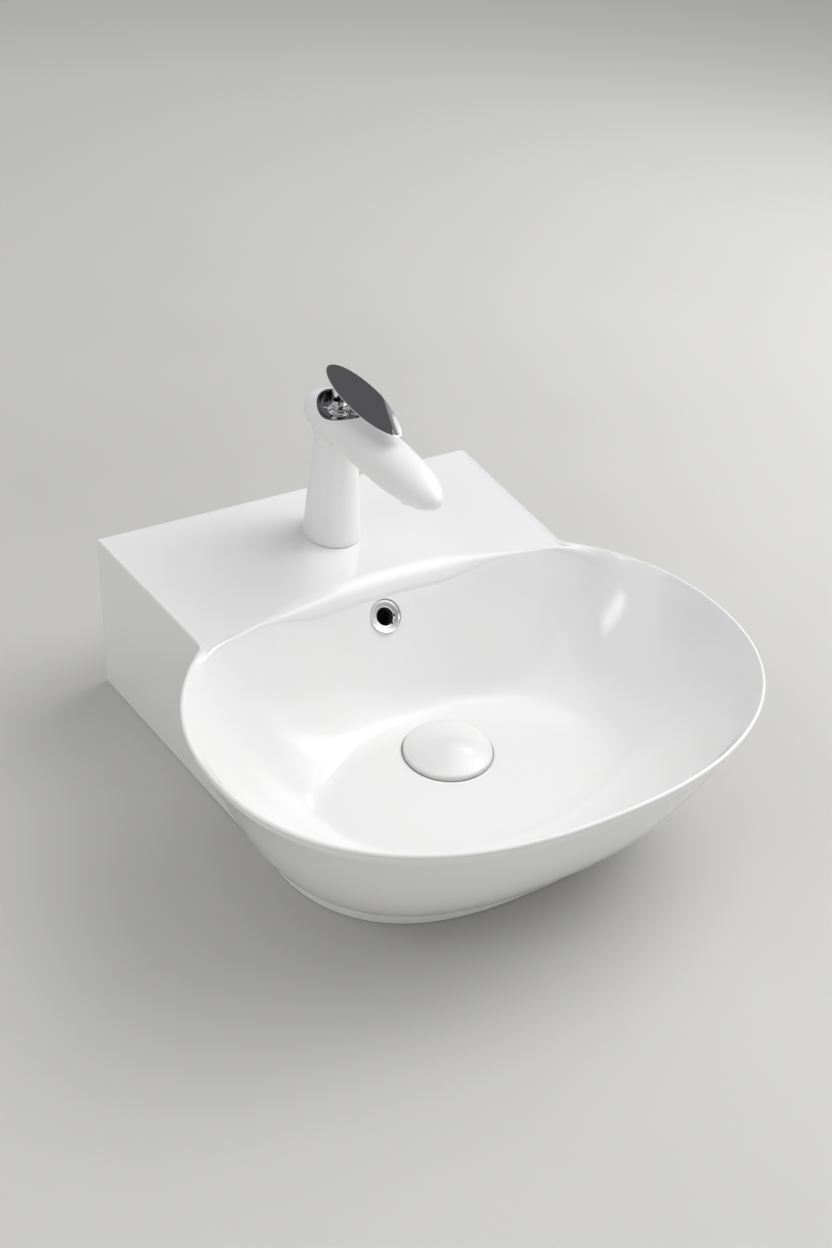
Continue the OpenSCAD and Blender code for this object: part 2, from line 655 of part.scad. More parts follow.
// A tube of rings, each ring: list of points in the same order, ends closed by fans
module skinned(rings) {
    n = len(rings[0]);
    m = len(rings);
    mid_a = [for (c = [0 : 2]) ave([for (p = rings[0]) p[c]])];
    mid_b = [for (c = [0 : 2]) ave([for (p = rings[m - 1]) p[c]])];
    polyhedron(points = concat([for (r = rings) each r], [mid_a, mid_b]),
        faces = concat(band_faces(m, n), cap_faces(m, n, m * n, m * n + 1)), convexity = 6);
}
function ave(v) = v * [for (x = v) 1] / len(v);

gasket_t = 1.2;
column_low = deck_z + gasket_t;
function column_ring(z, a, b, d) = [for (i = [0 : 39])
    [a * cos(9 * i), -d + b * sin(9 * i), z]];
column_rows = [
    [column_low - rim_z, base_a, base_b, tap_d + 1.7],
    [column_low - rim_z + 6, base_a, base_b, tap_d + 1.7],
    [20, base_a - 1.2, base_b - 1.7, tap_d + 2],
    [40, base_a - 2.8, base_b - 3.8, tap_d + 2.6],
    [60, base_a - 4.2, base_b - 5.6, tap_d + 3.2],
    [80, base_a - 5.2, base_b - 7, tap_d + 3.8],
    [spout_z - 4, base_a - 5.6, base_b - 7.6, tap_d + 4.4]];
barrel_rear = 30;
barrel_front = 112;
function barrel_grow(d) =
    d < spout_back_d + barrel_rear
    ? pow(max(0, 1 - pow((spout_back_d + barrel_rear - d) / barrel_rear, 2.3)), 0.5)
    : d > spout_tip_d - barrel_front
    ? pow(max(0, 1 - pow((d - spout_tip_d + barrel_front) / barrel_front, 3.4)), 0.5)
    : 1;
barrel_d = concat(
    [for (t = [6, 18, 30, 42, 54, 66, 78, 90]) spout_back_d + barrel_rear * (1 - cos(t))],
    [for (t = [8, 20, 31, 42, 52, 61, 69, 76, 82, 86.5]) spout_tip_d - barrel_front * (1 - sin(t))]);
function barrel_ring(d) = [for (i = [0 : 39])
    let (g = barrel_grow(d))
    [spout_a * g * cos(9 * i), -d, rim_z + spout_z + spout_b * g * sin(9 * i)]];

cart_low = -38;
cart_r = cart_d / 2;
cart_bore_r = cart_r + 1.1;
shoulder_z = -16;
pocket_z = -9;
thread_r = 14.5;
outlet_z = spout_z - 6.5;
inlet_x = 7.8;
way_x = 5.6;
inlet_d = tap_d + 6.3;
inlet_r = 4.6;
way_r = 2;
stud_d = tap_d - 9;
stud_r = 4;
aer_r = aer_d / 2;
aer_z = spout_z - spout_b;
aer_h = 9;
module tap_body() {
    color("white")
        difference() {
            union() {
                skinned([for (r = column_rows) column_ring(rim_z + r[0], r[1], r[2], r[3])]);
                skinned([for (d = barrel_d) barrel_ring(d)]);
            }
            // Recess, thread and bore for the cartridge
            at_head()
                translate([0, 0, pocket_z])
                    linear_extrude(30)
                        polygon(ellipse(recess_a, recess_b, 64));
            at_head()
                translate([0, 0, shoulder_z])
                    cylinder(h = 20, r = thread_r);
            at_head()
                translate([0, 0, cart_low])
                    cylinder(h = 40, r = cart_bore_r);
            // Two inlets with their rising ways
            for (s = [-1, 1]) {
                translate([s * inlet_x, -inlet_d, column_low - 1])
                    cylinder(h = 15, r = inlet_r);
                translate([s * way_x, -inlet_d, column_low])
                    cylinder(h = rim_z + head_z + cart_low - column_low + 2, r = way_r);
            }
            // Socket for the fixing stud
            translate([0, -stud_d, column_low - 1])
                cylinder(h = 17, r = stud_r);
            // Way along the spout and down to the aerator
            translate([0, -head_d + 4, rim_z + outlet_z])
                rotate([90, 0, 0])
                    cylinder(h = aer_y_d - head_d + 4 + 5, r = 5);
            translate([0, -aer_y_d, rim_z + aer_z - 6])
                cylinder(h = aer_h + 6, r = aer_r);
            translate([0, -aer_y_d, rim_z + aer_z])
                cylinder(h = outlet_z - aer_z, r = aer_r - 2);
        }
}

module base_gasket() {
    color("black")
        translate([0, 0, deck_z])
            difference() {
                linear_extrude(gasket_t)
                    translate([0, -tap_d - 1.7])
                        polygon(ellipse(base_a - 0.6, base_b - 0.6, 64));
                translate([0, -tap_d, -1])
                    cylinder(h = gasket_t + 2, r = tap_hole_d / 2 - 0.5);
            }
}

module recess_ring() {
    color("silver")
        at_head()
            difference() {
                translate([0, 0, pocket_z])
                    linear_extrude(-pocket_z)
                        polygon(ellipse(recess_a - push_gap, recess_b - push_gap, 64));
                translate([0, 0, pocket_z - 1])
                    linear_extrude(-pocket_z + 2)
                        polygon(ellipse(recess_a - 1.6, recess_b - 1.6, 64));
            }
}

// Cartridge, from its base to the nut that holds it
base_h = 3;
disc_h = 2.5;
carrier_h = 3.5;
pivot_z = -19;
port_y = -2.6;
port_r = 1.8;
rotor_low = cart_low + base_h + 2 * disc_h + carrier_h;
chamber_top = rotor_low + 6;
rotor_top = -12;
neck_r = 9;
chamber_r = cart_r - 1.3;
disc_r = chamber_r - 3.1;
stem_half = 3;
pin_r = 1.5;
pin_gap = 0.025;
ball_r = 2;
ball_z = rotor_low - 1.1;
seal_h = 1;
module cartridge_housing() {
    color("whitesmoke")
        at_head()
            difference() {
                union() {
                    translate([0, 0, cart_low + base_h])
                        cylinder(h = shoulder_z - cart_low - base_h + eps, r = cart_r);
                    translate([0, 0, shoulder_z])
                        cylinder(h = 2, r = thread_r - 0.4);
                }
                translate([0, 0, cart_low + base_h - 1])
                    cylinder(h = chamber_top - cart_low - base_h + 1, r = chamber_r);
                translate([0, 0, chamber_top - 1])
                    cylinder(h = 12, r = neck_r + run_gap);
            }
}

module cartridge_base() {
    color("whitesmoke")
        at_head()
            difference() {
                translate([0, 0, cart_low])
                    cylinder(h = base_h, r = cart_r);
                for (s = [-1, 1]) {
                    translate([s * way_x, port_y, cart_low - 1])
                        cylinder(h = base_h + 2, r = port_r);
                    translate([s * way_x, port_y, cart_low - 1])
                        cylinder(h = seal_h + 1, r = port_r + 1.7);
                }
                // Side outlet into the gap round the cartridge
                translate([-1.7, -1.2, cart_low + 1.5])
                    cube([3.4, cart_r + 3, base_h]);
            }
}

module inlet_seals() {
    color("dimgray")
        at_head()
            for (s = [-1, 1])
                translate([s * way_x, port_y, cart_low])
                    difference() {
                        cylinder(h = seal_h, r = port_r + 1.65);
                        translate([0, 0, -1])
                            cylinder(h = seal_h + 2, r = port_r + 0.3);
                    }
}

module fixed_disc() {
    color("lightgray")
        at_head()
            difference() {
                translate([0, 0, cart_low + base_h])
                    cylinder(h = disc_h, r = chamber_r - push_gap);
                for (s = [-1, 1])
                    translate([s * way_x, port_y, cart_low + base_h - 1])
                        cylinder(h = disc_h + 2, r = port_r);
                translate([0, 0.4, cart_low + base_h - 1])
                    cylinder(h = disc_h + 2, r = 1.6);
            }
}

module moving_disc() {
    color("gainsboro")
        at_head()
            difference() {
                translate([0, 0, cart_low + base_h + disc_h])
                    cylinder(h = disc_h, r = disc_r);
                // Pocket that joins the inlets to the outlet when the disc moves forward
                translate([0, 0, cart_low + base_h + disc_h - 1])
                    cylinder(h = 2.2, r = 4.2);
            }
}

module disc_carrier() {
    color("white")
        at_head()
            difference() {
                translate([0, 0, rotor_low - carrier_h])
                    cylinder(h = carrier_h - 0.05, r = disc_r);
                translate([0, 0, ball_z - ball_r - 0.1])
                    cylinder(h = 10, r = ball_r + run_gap);
            }
}

module cartridge_rotor() {
    color("white")
        at_head()
            difference() {
                union() {
                    translate([0, 0, rotor_low])
                        cylinder(h = chamber_top - rotor_low - 0.1, r = chamber_r - run_gap);
                    translate([0, 0, rotor_low])
                        cylinder(h = rotor_top - rotor_low, r = neck_r);
                }
                translate([-stem_half - run_gap, -6.2, rotor_low - 1])
                    cube([2 * (stem_half + run_gap), 12.8, rotor_top - rotor_low + 2]);
                translate([-neck_r - 1, 0, pivot_z])
                    rotate([0, 90, 0])
                        cylinder(h = 2 * neck_r + 2, r = pin_r + pin_gap);
            }
}

module pivot_pin() {
    color("silver")
        at_head()
            translate([-neck_r + 0.4, 0, pivot_z])
                rotate([0, 90, 0])
                    cylinder(h = 2 * neck_r - 0.8, r = pin_r);
}

stem_top = 12;
module stem() {
    color("goldenrod")
        at_head()
            difference() {
                union() {
                    translate([-stem_half, -stem_half, pivot_z - 4])
                        cube([2 * stem_half, 2 * stem_half, stem_top - pivot_z + 4]);
                    translate([0, 0, ball_z])
                        cylinder(h = pivot_z - 3 - ball_z, r = 1.5);
                    translate([0, 0, ball_z])
                        sphere(r = ball_r);
                }
                translate([-stem_half - 1, 0, pivot_z])
                    rotate([0, 90, 0])
                        cylinder(h = 2 * stem_half + 2, r = pin_r + run_gap);
            }
}

module cartridge_nut() {
    color("silver")
        at_head()
            difference() {
                translate([0, 0, shoulder_z + 2])
                    cylinder(h = 7.5, r = thread_r - push_gap);
                translate([0, 0, shoulder_z])
                    cylinder(h = 12, r = neck_r + 0.7);
                for (a = [45, 135])
                    rotate([0, 0, a])
                        translate([-thread_r - 1, -2, shoulder_z + 7.5])
                            cube([2 * thread_r + 2, 4, 4]);
            }
}

// Lever: a thin leaf over the barrel with a boss that takes the stem
boss_low = 1;
boss_r = 7;
grub_z = 7;
grub_r = 2.3;
function leaf_ring(s, z) = [for (i = [0 : 47])
    [leaf_w / 2 * s * cos(7.5 * i), -leaf_fore + leaf_l / 2 * s * sin(7.5 * i), z]];
leaf_edge = 1.2;
leaf_under = [for (s = [0.3, 0.6, 0.85, 0.97]) [s, leaf_z + 0.6 * pow(s, 4)]];
leaf_over = [for (s = [1, 0.985, 0.94, 0.85, 0.7, 0.5, 0.25])
    [s, leaf_z + leaf_edge + (leaf_t - leaf_edge) * pow(max(0, 1 - pow(s, 2.4)), 0.6)]];
module lever() {
    color("silver")
        at_head()
            difference() {
                union() {
                    skinned([for (r = concat(leaf_under, leaf_over)) leaf_ring(r[0], r[1])]);
                    translate([0, 0, boss_low])
                        cylinder(h = leaf_z - boss_low + 1.6, r = boss_r);
                }
                translate([-stem_half - push_gap, -stem_half - push_gap, boss_low - 1])
                    cube([2 * (stem_half + push_gap), 2 * (stem_half + push_gap), stem_top - boss_low + 1.3]);
                translate([0, 0, grub_z])
                    rotate([-90, 0, 0])
                        cylinder(h = boss_r + 1, r = grub_r);
            }
}

module lever_screw() {
    color("dimgray")
        at_head()
            translate([0, stem_half + 0.02, grub_z])
                rotate([-90, 0, 0])
                    difference() {
                        cylinder(h = boss_r - stem_half - 0.6, r = grub_r - push_gap);
                        translate([0, 0, 1.4])
                            cylinder(h = 10, r = 1.25, $fn = 6);
                    }
}

// Aerator under the tip of the spout
aer_low = rim_z + aer_z + 1.6;
aer_seat = rim_z + aer_z + aer_h;
aer_seal_h = 1.5;
mesh_r = aer_r - 1.6;
module aerator_housing() {
    color("silver")
        translate([0, -aer_y_d, aer_low])
            difference() {
                cylinder(h = aer_seat - aer_seal_h - aer_low, r = aer_r - push_gap);
                translate([0, 0, -1])
                    cylinder(h = 3, r = mesh_r - 0.8);
                translate([0, 0, 1])
                    cylinder(h = 20, r = mesh_r + push_gap / 2);
            }
}

module aerator_insert() {
    color("whitesmoke")
        translate([0, -aer_y_d, aer_low + 1])
            difference() {
                cylinder(h = aer_seat - aer_seal_h - aer_low - 1, r = mesh_r);
                translate([0, 0, -1])
                    cylinder(h = 10, r = 0.6, $fn = 16);
                for (a = [0 : 60 : 300])
                    rotate([0, 0, a])
                        translate([2.1, 0, -1])
                            cylinder(h = 10, r = 0.6, $fn = 16);
                for (a = [15 : 30 : 345])
                    rotate([0, 0, a])
                        translate([4.2, 0, -1])
                            cylinder(h = 10, r = 0.6, $fn = 16);
            }
}

module aerator_seal() {
    color("dimgray")
        translate([0, -aer_y_d, aer_seat - aer_seal_h])
            difference() {
                cylinder(h = aer_seal_h, r = aer_r - push_gap);
                translate([0, 0, -1])
                    cylinder(h = aer_seal_h + 2, r = aer_r - 2.6);
            }
}

// Fixing under the deck
under_z = deck_z - deck_t;
shoe_r = 24;
shoe_open = inlet_x + inlet_r + 0.2;
shoe_rubber_h = 3;
shoe_plate_h = 2;
stud_nut_h = 6.5;
stud_hang = 42;
stud_low = under_z - stud_hang;
shoe_off = 0.5;
shoe_reach = 40;
module horseshoe(h) {
    difference() {
        translate([0, -tap_d, 0])
            cylinder(h = h, r = shoe_r);
        // Slot that the two supply tails pass through
        translate([0, -tap_d, -1])
            linear_extrude(h + 2)
                polygon([
                    [-shoe_open, -shoe_reach],
                    [shoe_open, -shoe_reach],
                    [shoe_open, -shoe_off - 3],
                    [shoe_open - 3, -shoe_off],
                    [3 - shoe_open, -shoe_off],
                    [-shoe_open, -shoe_off - 3]
                ]);
        translate([0, -stud_d, -1])
            cylinder(h = h + 2, r = stud_r + push_gap);
    }
}

module shoe_gasket() {
    color("dimgray")
        translate([0, 0, under_z - shoe_rubber_h])
            horseshoe(shoe_rubber_h);
}

module shoe_plate() {
    color("silver")
        translate([0, 0, under_z - shoe_rubber_h - shoe_plate_h])
            horseshoe(shoe_plate_h);
}

module stud() {
    color("goldenrod")
        translate([0, -stud_d, stud_low])
            cylinder(h = column_low + 15 - stud_low, r = stud_r - push_gap / 2);
}

module stud_nut() {
    z = under_z - shoe_rubber_h - shoe_plate_h - stud_nut_h;
    color("goldenrod")
        translate([0, -stud_d, z])
            difference() {
                linear_extrude(stud_nut_h)
                    polygon([for (a = [0 : 60 : 300]) 7.5 * [cos(a), sin(a)]]);
                translate([0, 0, -1])
                    cylinder(h = stud_nut_h + 2, r = stud_r + push_gap / 2);
            }
}

basin();
overflow_ring();
waste_body();
flange_seal();
waste_gasket();
waste_washer();
waste_nut();
waste_cap();
cap_core();
cap_seal();
plunger();
click_sleeve();
plunger_spring();
tap_body();
base_gasket();
recess_ring();
cartridge_housing();
cartridge_base();
inlet_seals();
fixed_disc();
moving_disc();
disc_carrier();
cartridge_rotor();
pivot_pin();
stem();
cartridge_nut();
lever();
lever_screw();
aerator_housing();
aerator_insert();
aerator_seal();
shoe_gasket();
shoe_plate();
stud();
stud_nut();
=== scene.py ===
import json
import math

import bpy
import bmesh
import numpy as np
from mathutils import Matrix, Vector


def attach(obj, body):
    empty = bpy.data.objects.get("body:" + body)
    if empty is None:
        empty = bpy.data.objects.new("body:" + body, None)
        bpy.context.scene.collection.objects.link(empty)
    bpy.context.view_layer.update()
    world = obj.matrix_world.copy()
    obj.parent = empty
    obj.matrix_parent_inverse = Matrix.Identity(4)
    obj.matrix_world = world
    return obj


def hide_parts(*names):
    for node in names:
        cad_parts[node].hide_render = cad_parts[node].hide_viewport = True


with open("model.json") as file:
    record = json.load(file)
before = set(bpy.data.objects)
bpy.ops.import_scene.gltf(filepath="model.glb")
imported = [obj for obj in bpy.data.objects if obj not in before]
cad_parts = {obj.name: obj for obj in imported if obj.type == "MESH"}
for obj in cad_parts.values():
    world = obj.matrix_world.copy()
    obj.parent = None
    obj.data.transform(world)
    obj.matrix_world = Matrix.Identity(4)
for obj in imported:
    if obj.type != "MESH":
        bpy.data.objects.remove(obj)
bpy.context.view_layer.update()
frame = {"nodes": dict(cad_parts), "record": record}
nodes = frame["nodes"]
MM = 0.001

# Sizes in millimetres: x goes to the side, d forward from the wall, and z up from the rim
RIM_Z = 75.0  # rim over the frame's origin
REAR_W = 360.8  # width at the wall
LEAN = 0.0727  # how much the deck's sides come in per millimetre forward
RIM_A = 225.8  # half the rim's width
RIM_MID = 299.0  # wall to the rim's widest place
RIM_BACK = 183.0  # reach of the rim's curve from there to the wall
BASIN_D = 474.0  # wall to the rim's front
RIM_FULL = 2.3  # fullness of the rim's front, 2 is an ellipse
RIM_T = 6.5  # width of the rim's top
LIP_H = 2.5  # rim over deck
BASIN_H = 148.0  # rim to foot
BOWL_H = 99.5  # rim to the waste's seat
FLOOR_RISE = 5.0  # rise of the floor from the waste to the walls
FLOOR_A, FLOOR_B = 122.0, 79.0  # half axes of the floor
BOWL_BACK = 155.0  # wall to the bowl's rear edge
TURN_R = 18.0  # radius of the bowl's rear edge
TURN_MIN = 3.0  # radius of its other edges
TURN_SHIFT = 0.3  # share of the wider radius by which the rear edge moves in
BOWL_T = 9.0  # thickness of the bowl's wall
SKIN_T = 10.0  # thickness of the outer walls
FOOT_A = 157.3  # half the foot's width
FOOT_D = 392.4  # wall to the foot's front
FOOT_FULL = 2.52  # fullness of the foot's front
BAND_H = 8.5  # band above the foot
FLARE_D = 261.4  # wall to the place where the foot has come in to its width
FLARE_P = 1.012  # power of the way there
WASTE_D = 270.4  # wall to the waste
WASTE_HOLE = 46.0
BOSS_H = 35.5  # waste's seat to the boss's lower end
OVER_Z = 31.9  # rim to the overflow's centre
OVER_SLOPE = 51.0  # angle of the overflow's axis to the vertical
OVER_HOLE = 21.0
TAP_D = 73.0  # wall to the tap's hole
TAP_HOLE = 35.0
HEAD_D, HEAD_Z, HEAD_LEAN = 81.0, 121.8, 6.5  # place of the lever's axis and its angle to the vertical
HALF_W = REAR_W / 2
DECK_T = BOWL_T + 1
FLOOR_Z = -BOWL_H + FLOOR_RISE


def smooth(t):
    t = np.clip(t, 0.0, 1.0)
    return t * t * (3 - 2 * t)


def mix(a, b, t):
    return a + (b - a) * t


# Mesh helpers
def shade(obj, angle):
    me = obj.data
    me.polygons.foreach_set("use_smooth", [True] * len(me.polygons))
    me.set_sharp_from_angle(angle=math.radians(angle))
    me.update()


def make_mesh(name, verts, faces, mat=None, angle=35.0):
    """A closed mesh from points in millimetres, with its faces turned outwards."""
    me = bpy.data.meshes.new(name)
    points = [tuple(v) for v in np.asarray(verts, float) * MM]
    me.from_pydata(points, [], [list(map(int, f)) for f in faces])
    me.validate()
    obj = bpy.data.objects.new(name, me)
    bpy.context.scene.collection.objects.link(obj)
    bm = bmesh.new()
    bm.from_mesh(me)
    if bm.calc_volume(signed=True) < 0:
        bmesh.ops.reverse_faces(bm, faces=bm.faces)
    bm.to_mesh(me)
    bm.free()
    shade(obj, angle)
    if mat is not None:
        me.materials.append(mat)
    return obj


def tube_faces(m, n, closed=False, cap_a=None, cap_b=None):
    """Quads over m rings of n points. The last ring joins the first when closed, or fans close both ends."""
    out = []
    for j in range(m if closed else m - 1):
        a0 = j * n
        b0 = ((j + 1) % m) * n
        for k in range(n):
            k1 = (k + 1) % n
            out.append((a0 + k, a0 + k1, b0 + k1, b0 + k))
    if cap_a is not None:
        out += [(cap_a, (k + 1) % n, k) for k in range(n)]
    if cap_b is not None:
        last = (m - 1) * n
        out += [(cap_b, last + k, last + (k + 1) % n) for k in range(n)]
    return out


def skinned(rings):
    """Points and faces of a tube of rings with fans at both ends."""
    n, m = len(rings[0]), len(rings)
    pts = [p for r in rings for p in r]
    pts.append(np.mean(np.asarray(rings[0]), axis=0))
    pts.append(np.mean(np.asarray(rings[-1]), axis=0))
    return np.asarray(pts, float), tube_faces(m, n, cap_a=m * n, cap_b=m * n + 1)


def lathe(profile, centre, turned=None, n=128):
    """Turns a closed outline of (radius, height) about an axis. Points on the axis become one."""
    pts = []
    rows = []
    for r, z in profile:
        if r < 1e-6:
            rows.append([len(pts)] * n)
            pts.append((0.0, 0.0, z))
            continue
        rows.append(list(range(len(pts), len(pts) + n)))
        for k in range(n):
            t = 2 * math.pi * k / n
            pts.append((r * math.cos(t), r * math.sin(t), z))
    faces = []
    for j, a in enumerate(rows):
        b = rows[(j + 1) % len(rows)]
        for k in range(n):
            k1 = (k + 1) % n
            face = tuple(dict.fromkeys((a[k], a[k1], b[k1], b[k])))
            if len(face) > 2:
                faces.append(face)
    pts = np.asarray(pts, float)
    if turned is not None:
        pts = pts @ turned.T
    return pts + np.asarray(centre, float), faces


def rounded(points, radii, steps):
    """An outline with its corners rounded by the radii given for each point."""
    out = []
    n = len(points)
    for i in range(n):
        p = np.array(points[i], float)
        if radii[i] <= 0:
            out.append(tuple(p))
            continue
        a = np.array(points[i - 1], float) - p
        b = np.array(points[(i + 1) % n], float) - p
        la, lb = np.linalg.norm(a), np.linalg.norm(b)
        a, b = a / la, b / lb
        angle = math.acos(max(-1, min(1, float(a @ b))))
        reach = min(radii[i] / math.tan(angle / 2), 0.45 * la, 0.45 * lb)
        r = reach * math.tan(angle / 2)
        middle = (a + b) / np.linalg.norm(a + b)
        c = p + middle * (r / math.sin(angle / 2))
        p0, p1 = p + a * reach - c, p + b * reach - c
        t0, t1 = math.atan2(p0[1], p0[0]), math.atan2(p1[1], p1[0])
        dt = (t1 - t0 + math.pi) % (2 * math.pi) - math.pi
        for s in range(steps + 1):
            t = t0 + dt * s / steps
            out.append((c[0] + r * math.cos(t), c[1] + r * math.sin(t)))
    return out


def cylinder_cutter(a, b, r, n=64):
    """A cylinder from a to b, to cut with."""
    a, b = np.asarray(a, float), np.asarray(b, float)
    d = (b - a) / np.linalg.norm(b - a)
    u = np.cross(d, [1.0, 0, 0]) if abs(d[0]) < 0.9 else np.cross(d, [0, 1.0, 0])
    u /= np.linalg.norm(u)
    v = np.cross(d, u)
    turns = np.linspace(0, 2 * math.pi, n, endpoint=False)
    rings = [[c + r * (math.cos(t) * u + math.sin(t) * v) for t in turns] for c in (a, b)]
    return make_mesh("cutter", *skinned(rings))


def boolean(obj, tool, kind="DIFFERENCE"):
    """Cuts the object with the tool, or joins them, and removes the tool."""
    mod = obj.modifiers.new("cut", "BOOLEAN")
    mod.operation = kind
    mod.solver = "MANIFOLD"
    mod.object = tool
    deps = bpy.context.evaluated_depsgraph_get()
    out = bpy.data.meshes.new_from_object(obj.evaluated_get(deps), depsgraph=deps)
    obj.modifiers.clear()
    old = obj.data
    name = old.name
    obj.data = out
    bpy.data.meshes.remove(old)
    out.name = name
    bpy.data.objects.remove(tool)


def dress(obj, mat, angle=40):
    """Gives a finished mesh its material and its sharp edges."""
    shade(obj, angle)
    obj.data.materials.clear()
    obj.data.materials.append(mat)


def inner_faces(obj, a, b, r, mat):
    """Gives the faces inside a round passage from a to b their own material, here the painted shade of the
    bores.
    """
    obj.data.materials.append(mat)
    place = len(obj.data.materials) - 1
    a, b = np.asarray(a, float), np.asarray(b, float)
    way = b - a
    for face in obj.data.polygons:
        c = np.array(face.center) / MM - a
        t = c @ way / (way @ way)
        if 0 <= t <= 1 and np.linalg.norm(c - t * way) < r:
            face.material_index = place


# Material helpers
RAMP_LOW, RAMP_HIGH = 0.3, 0.7


def new_mat(name):
    m = bpy.data.materials.new(name)
    m.use_nodes = True
    nt = m.node_tree
    return m, nt, nt.nodes["Principled BSDF"]


def scaled(colour, share):
    return tuple(c * share for c in colour) + (1,)


def noise(nt, scale, detail):
    coords = nt.nodes.new("ShaderNodeTexCoord")
    n = nt.nodes.new("ShaderNodeTexNoise")
    n.inputs["Scale"].default_value = scale
    n.inputs["Detail"].default_value = detail
    nt.links.new(coords.outputs["Object"], n.inputs["Vector"])
    return n


def ramp(nt, src, low, high):
    r = nt.nodes.new("ShaderNodeValToRGB")
    r.color_ramp.elements[0].position = RAMP_LOW
    r.color_ramp.elements[1].position = RAMP_HIGH
    r.color_ramp.elements[0].color = low
    r.color_ramp.elements[1].color = high
    nt.links.new(src.outputs["Fac"], r.inputs["Fac"])
    return r


def vary_colour(nt, b, src, low, high):
    nt.links.new(ramp(nt, src, low, high).outputs["Color"], b.inputs["Base Color"])


def vary_gloss(nt, b, src, low, high):
    """Lets the roughness follow a noise from low to high."""
    r = ramp(nt, src, (low, low, low, 1), (high, high, high, 1))
    nt.links.new(r.outputs["Color"], b.inputs["Roughness"])


def bump(nt, b, src, strength, distance, below=None):
    n = nt.nodes.new("ShaderNodeBump")
    n.inputs["Strength"].default_value = strength
    n.inputs["Distance"].default_value = distance
    nt.links.new(src.outputs["Fac"], n.inputs["Height"])
    if below is not None:
        nt.links.new(below.outputs["Normal"], n.inputs["Normal"])
    nt.links.new(n.outputs["Normal"], b.inputs["Normal"])
    return n


def glaze_material(name, base, rough):
    """White glaze: a clear gloss over a body that varies very slightly in tone and thickness."""
    m, nt, b = new_mat(name)
    low = (base[0] * 0.985, base[1] * 0.985, base[2] * 0.98, 1)
    vary_colour(nt, b, noise(nt, 9.0, 3.0), low, (*base, 1))
    vary_gloss(nt, b, noise(nt, 40.0, 3.0), rough * 0.8, rough * 1.25)
    b.inputs["IOR"].default_value = 1.52
    wave = bump(nt, b, noise(nt, 22.0, 1.0), 0.05, 0.002)
    bump(nt, b, noise(nt, 420.0, 1.0), 0.02, 0.0003, wave)
    return m


def coat_material(name, base, rough):
    """Satin white coating on metal."""
    m, nt, b = new_mat(name)
    vary_colour(nt, b, noise(nt, 16.0, 2.0), scaled(base, 0.985), (*base, 1))
    grain = noise(nt, 900.0, 2.0)
    vary_gloss(nt, b, grain, rough * 0.9, rough * 1.12)
    b.inputs["IOR"].default_value = 1.5
    bump(nt, b, grain, 0.05, 0.0002)
    return m


def metal_material(name, base, rough, scale, relief, stretch=None):
    """Metal with fine marks, drawn out along one axis when stretched."""
    m, nt, b = new_mat(name)
    b.inputs["Metallic"].default_value = 1.0
    vary_colour(nt, b, noise(nt, scale, 3.0), scaled(base, 0.95), (*base, 1))
    marks = noise(nt, scale * 6, 3.0)
    if stretch is not None:
        mapping = nt.nodes.new("ShaderNodeMapping")
        mapping.inputs["Scale"].default_value = stretch
        coords = nt.nodes.new("ShaderNodeTexCoord")
        nt.links.new(coords.outputs["Object"], mapping.inputs["Vector"])
        nt.links.new(mapping.outputs["Vector"], marks.inputs["Vector"])
    vary_gloss(nt, b, marks, rough * 0.75, rough * 1.3)
    bump(nt, b, marks, relief, 0.0002)
    return m


def plain_material(name, base, rough, scale, relief, spread=0.06):
    """Matt or satin stuff with an even grain."""
    m, nt, b = new_mat(name)
    grain = noise(nt, scale, 3.0)
    vary_colour(nt, b, grain, scaled(base, 1 - spread), (*base, 1))
    vary_gloss(nt, b, grain, rough * 0.9, min(1, rough * 1.15))
    bump(nt, b, grain, relief, 0.0003)
    return m


GLAZE = glaze_material("white_glaze", (0.83, 0.83, 0.828), 0.07)
# The cap's glaze is the same white as the basin's, made darker here as painted shade.
CAP_GLAZE_PAINTED_SHADE = glaze_material("cap_glaze", (0.75, 0.75, 0.748), 0.09)
COAT = coat_material("satin_white", (0.82, 0.82, 0.82), 0.34)
CHROME = metal_material("polished_chrome", (0.78, 0.78, 0.79), 0.045, 60.0, 0.01)
# Near-black metal for the cup in the tap's recess: painted shade of the recess round the cartridge.
CUP_PAINTED_SHADE = metal_material("recess_painted_shade", (0.13, 0.13, 0.135), 0.16, 60.0, 0.01)
RING_CHROME = metal_material("satin_chrome", (0.93, 0.93, 0.93), 0.2, 60.0, 0.01)
BRASS = metal_material("turned_brass", (0.71, 0.55, 0.28), 0.28, 90.0, 0.06, (1.0, 1.0, 12.0))
STEEL = metal_material("plain_steel", (0.56, 0.56, 0.57), 0.32, 90.0, 0.06, (1.0, 14.0, 1.0))
RUBBER = plain_material("black_rubber", (0.03, 0.03, 0.03), 0.62, 260.0, 0.2, 0.25)
PLASTIC = plain_material("white_plastic", (0.74, 0.74, 0.72), 0.4, 300.0, 0.05)
# Near-black for the inside of the overflow's bores: painted shade in the holes, not the glaze's colour.
BORE_PAINTED_SHADE = plain_material("bore_painted_shade", (0.045, 0.045, 0.043), 0.7, 120.0, 0.1, 0.2)
DISC = plain_material("lapped_ceramic", (0.7, 0.68, 0.63), 0.2, 240.0, 0.03)
BY_SLOT = {"glaze": GLAZE, "cap_glaze": CAP_GLAZE_PAINTED_SHADE, "tap_white": COAT, "chrome": CHROME, "brass": BRASS,
           "steel": STEEL, "rubber": RUBBER, "plastic": PLASTIC, "disc": DISC}
SLOT_OF = {s["node"]: s["material_slot"] for s in frame["record"]["subparts"]}
PLATED = ("stem", "cartridge_nut", "aerator_housing", "waste_body")
for node_name, node_obj in nodes.items():
    node_obj.data.materials.clear()
    node_obj.data.materials.append(CHROME if node_name in PLATED else BY_SLOT[SLOT_OF[node_name]])

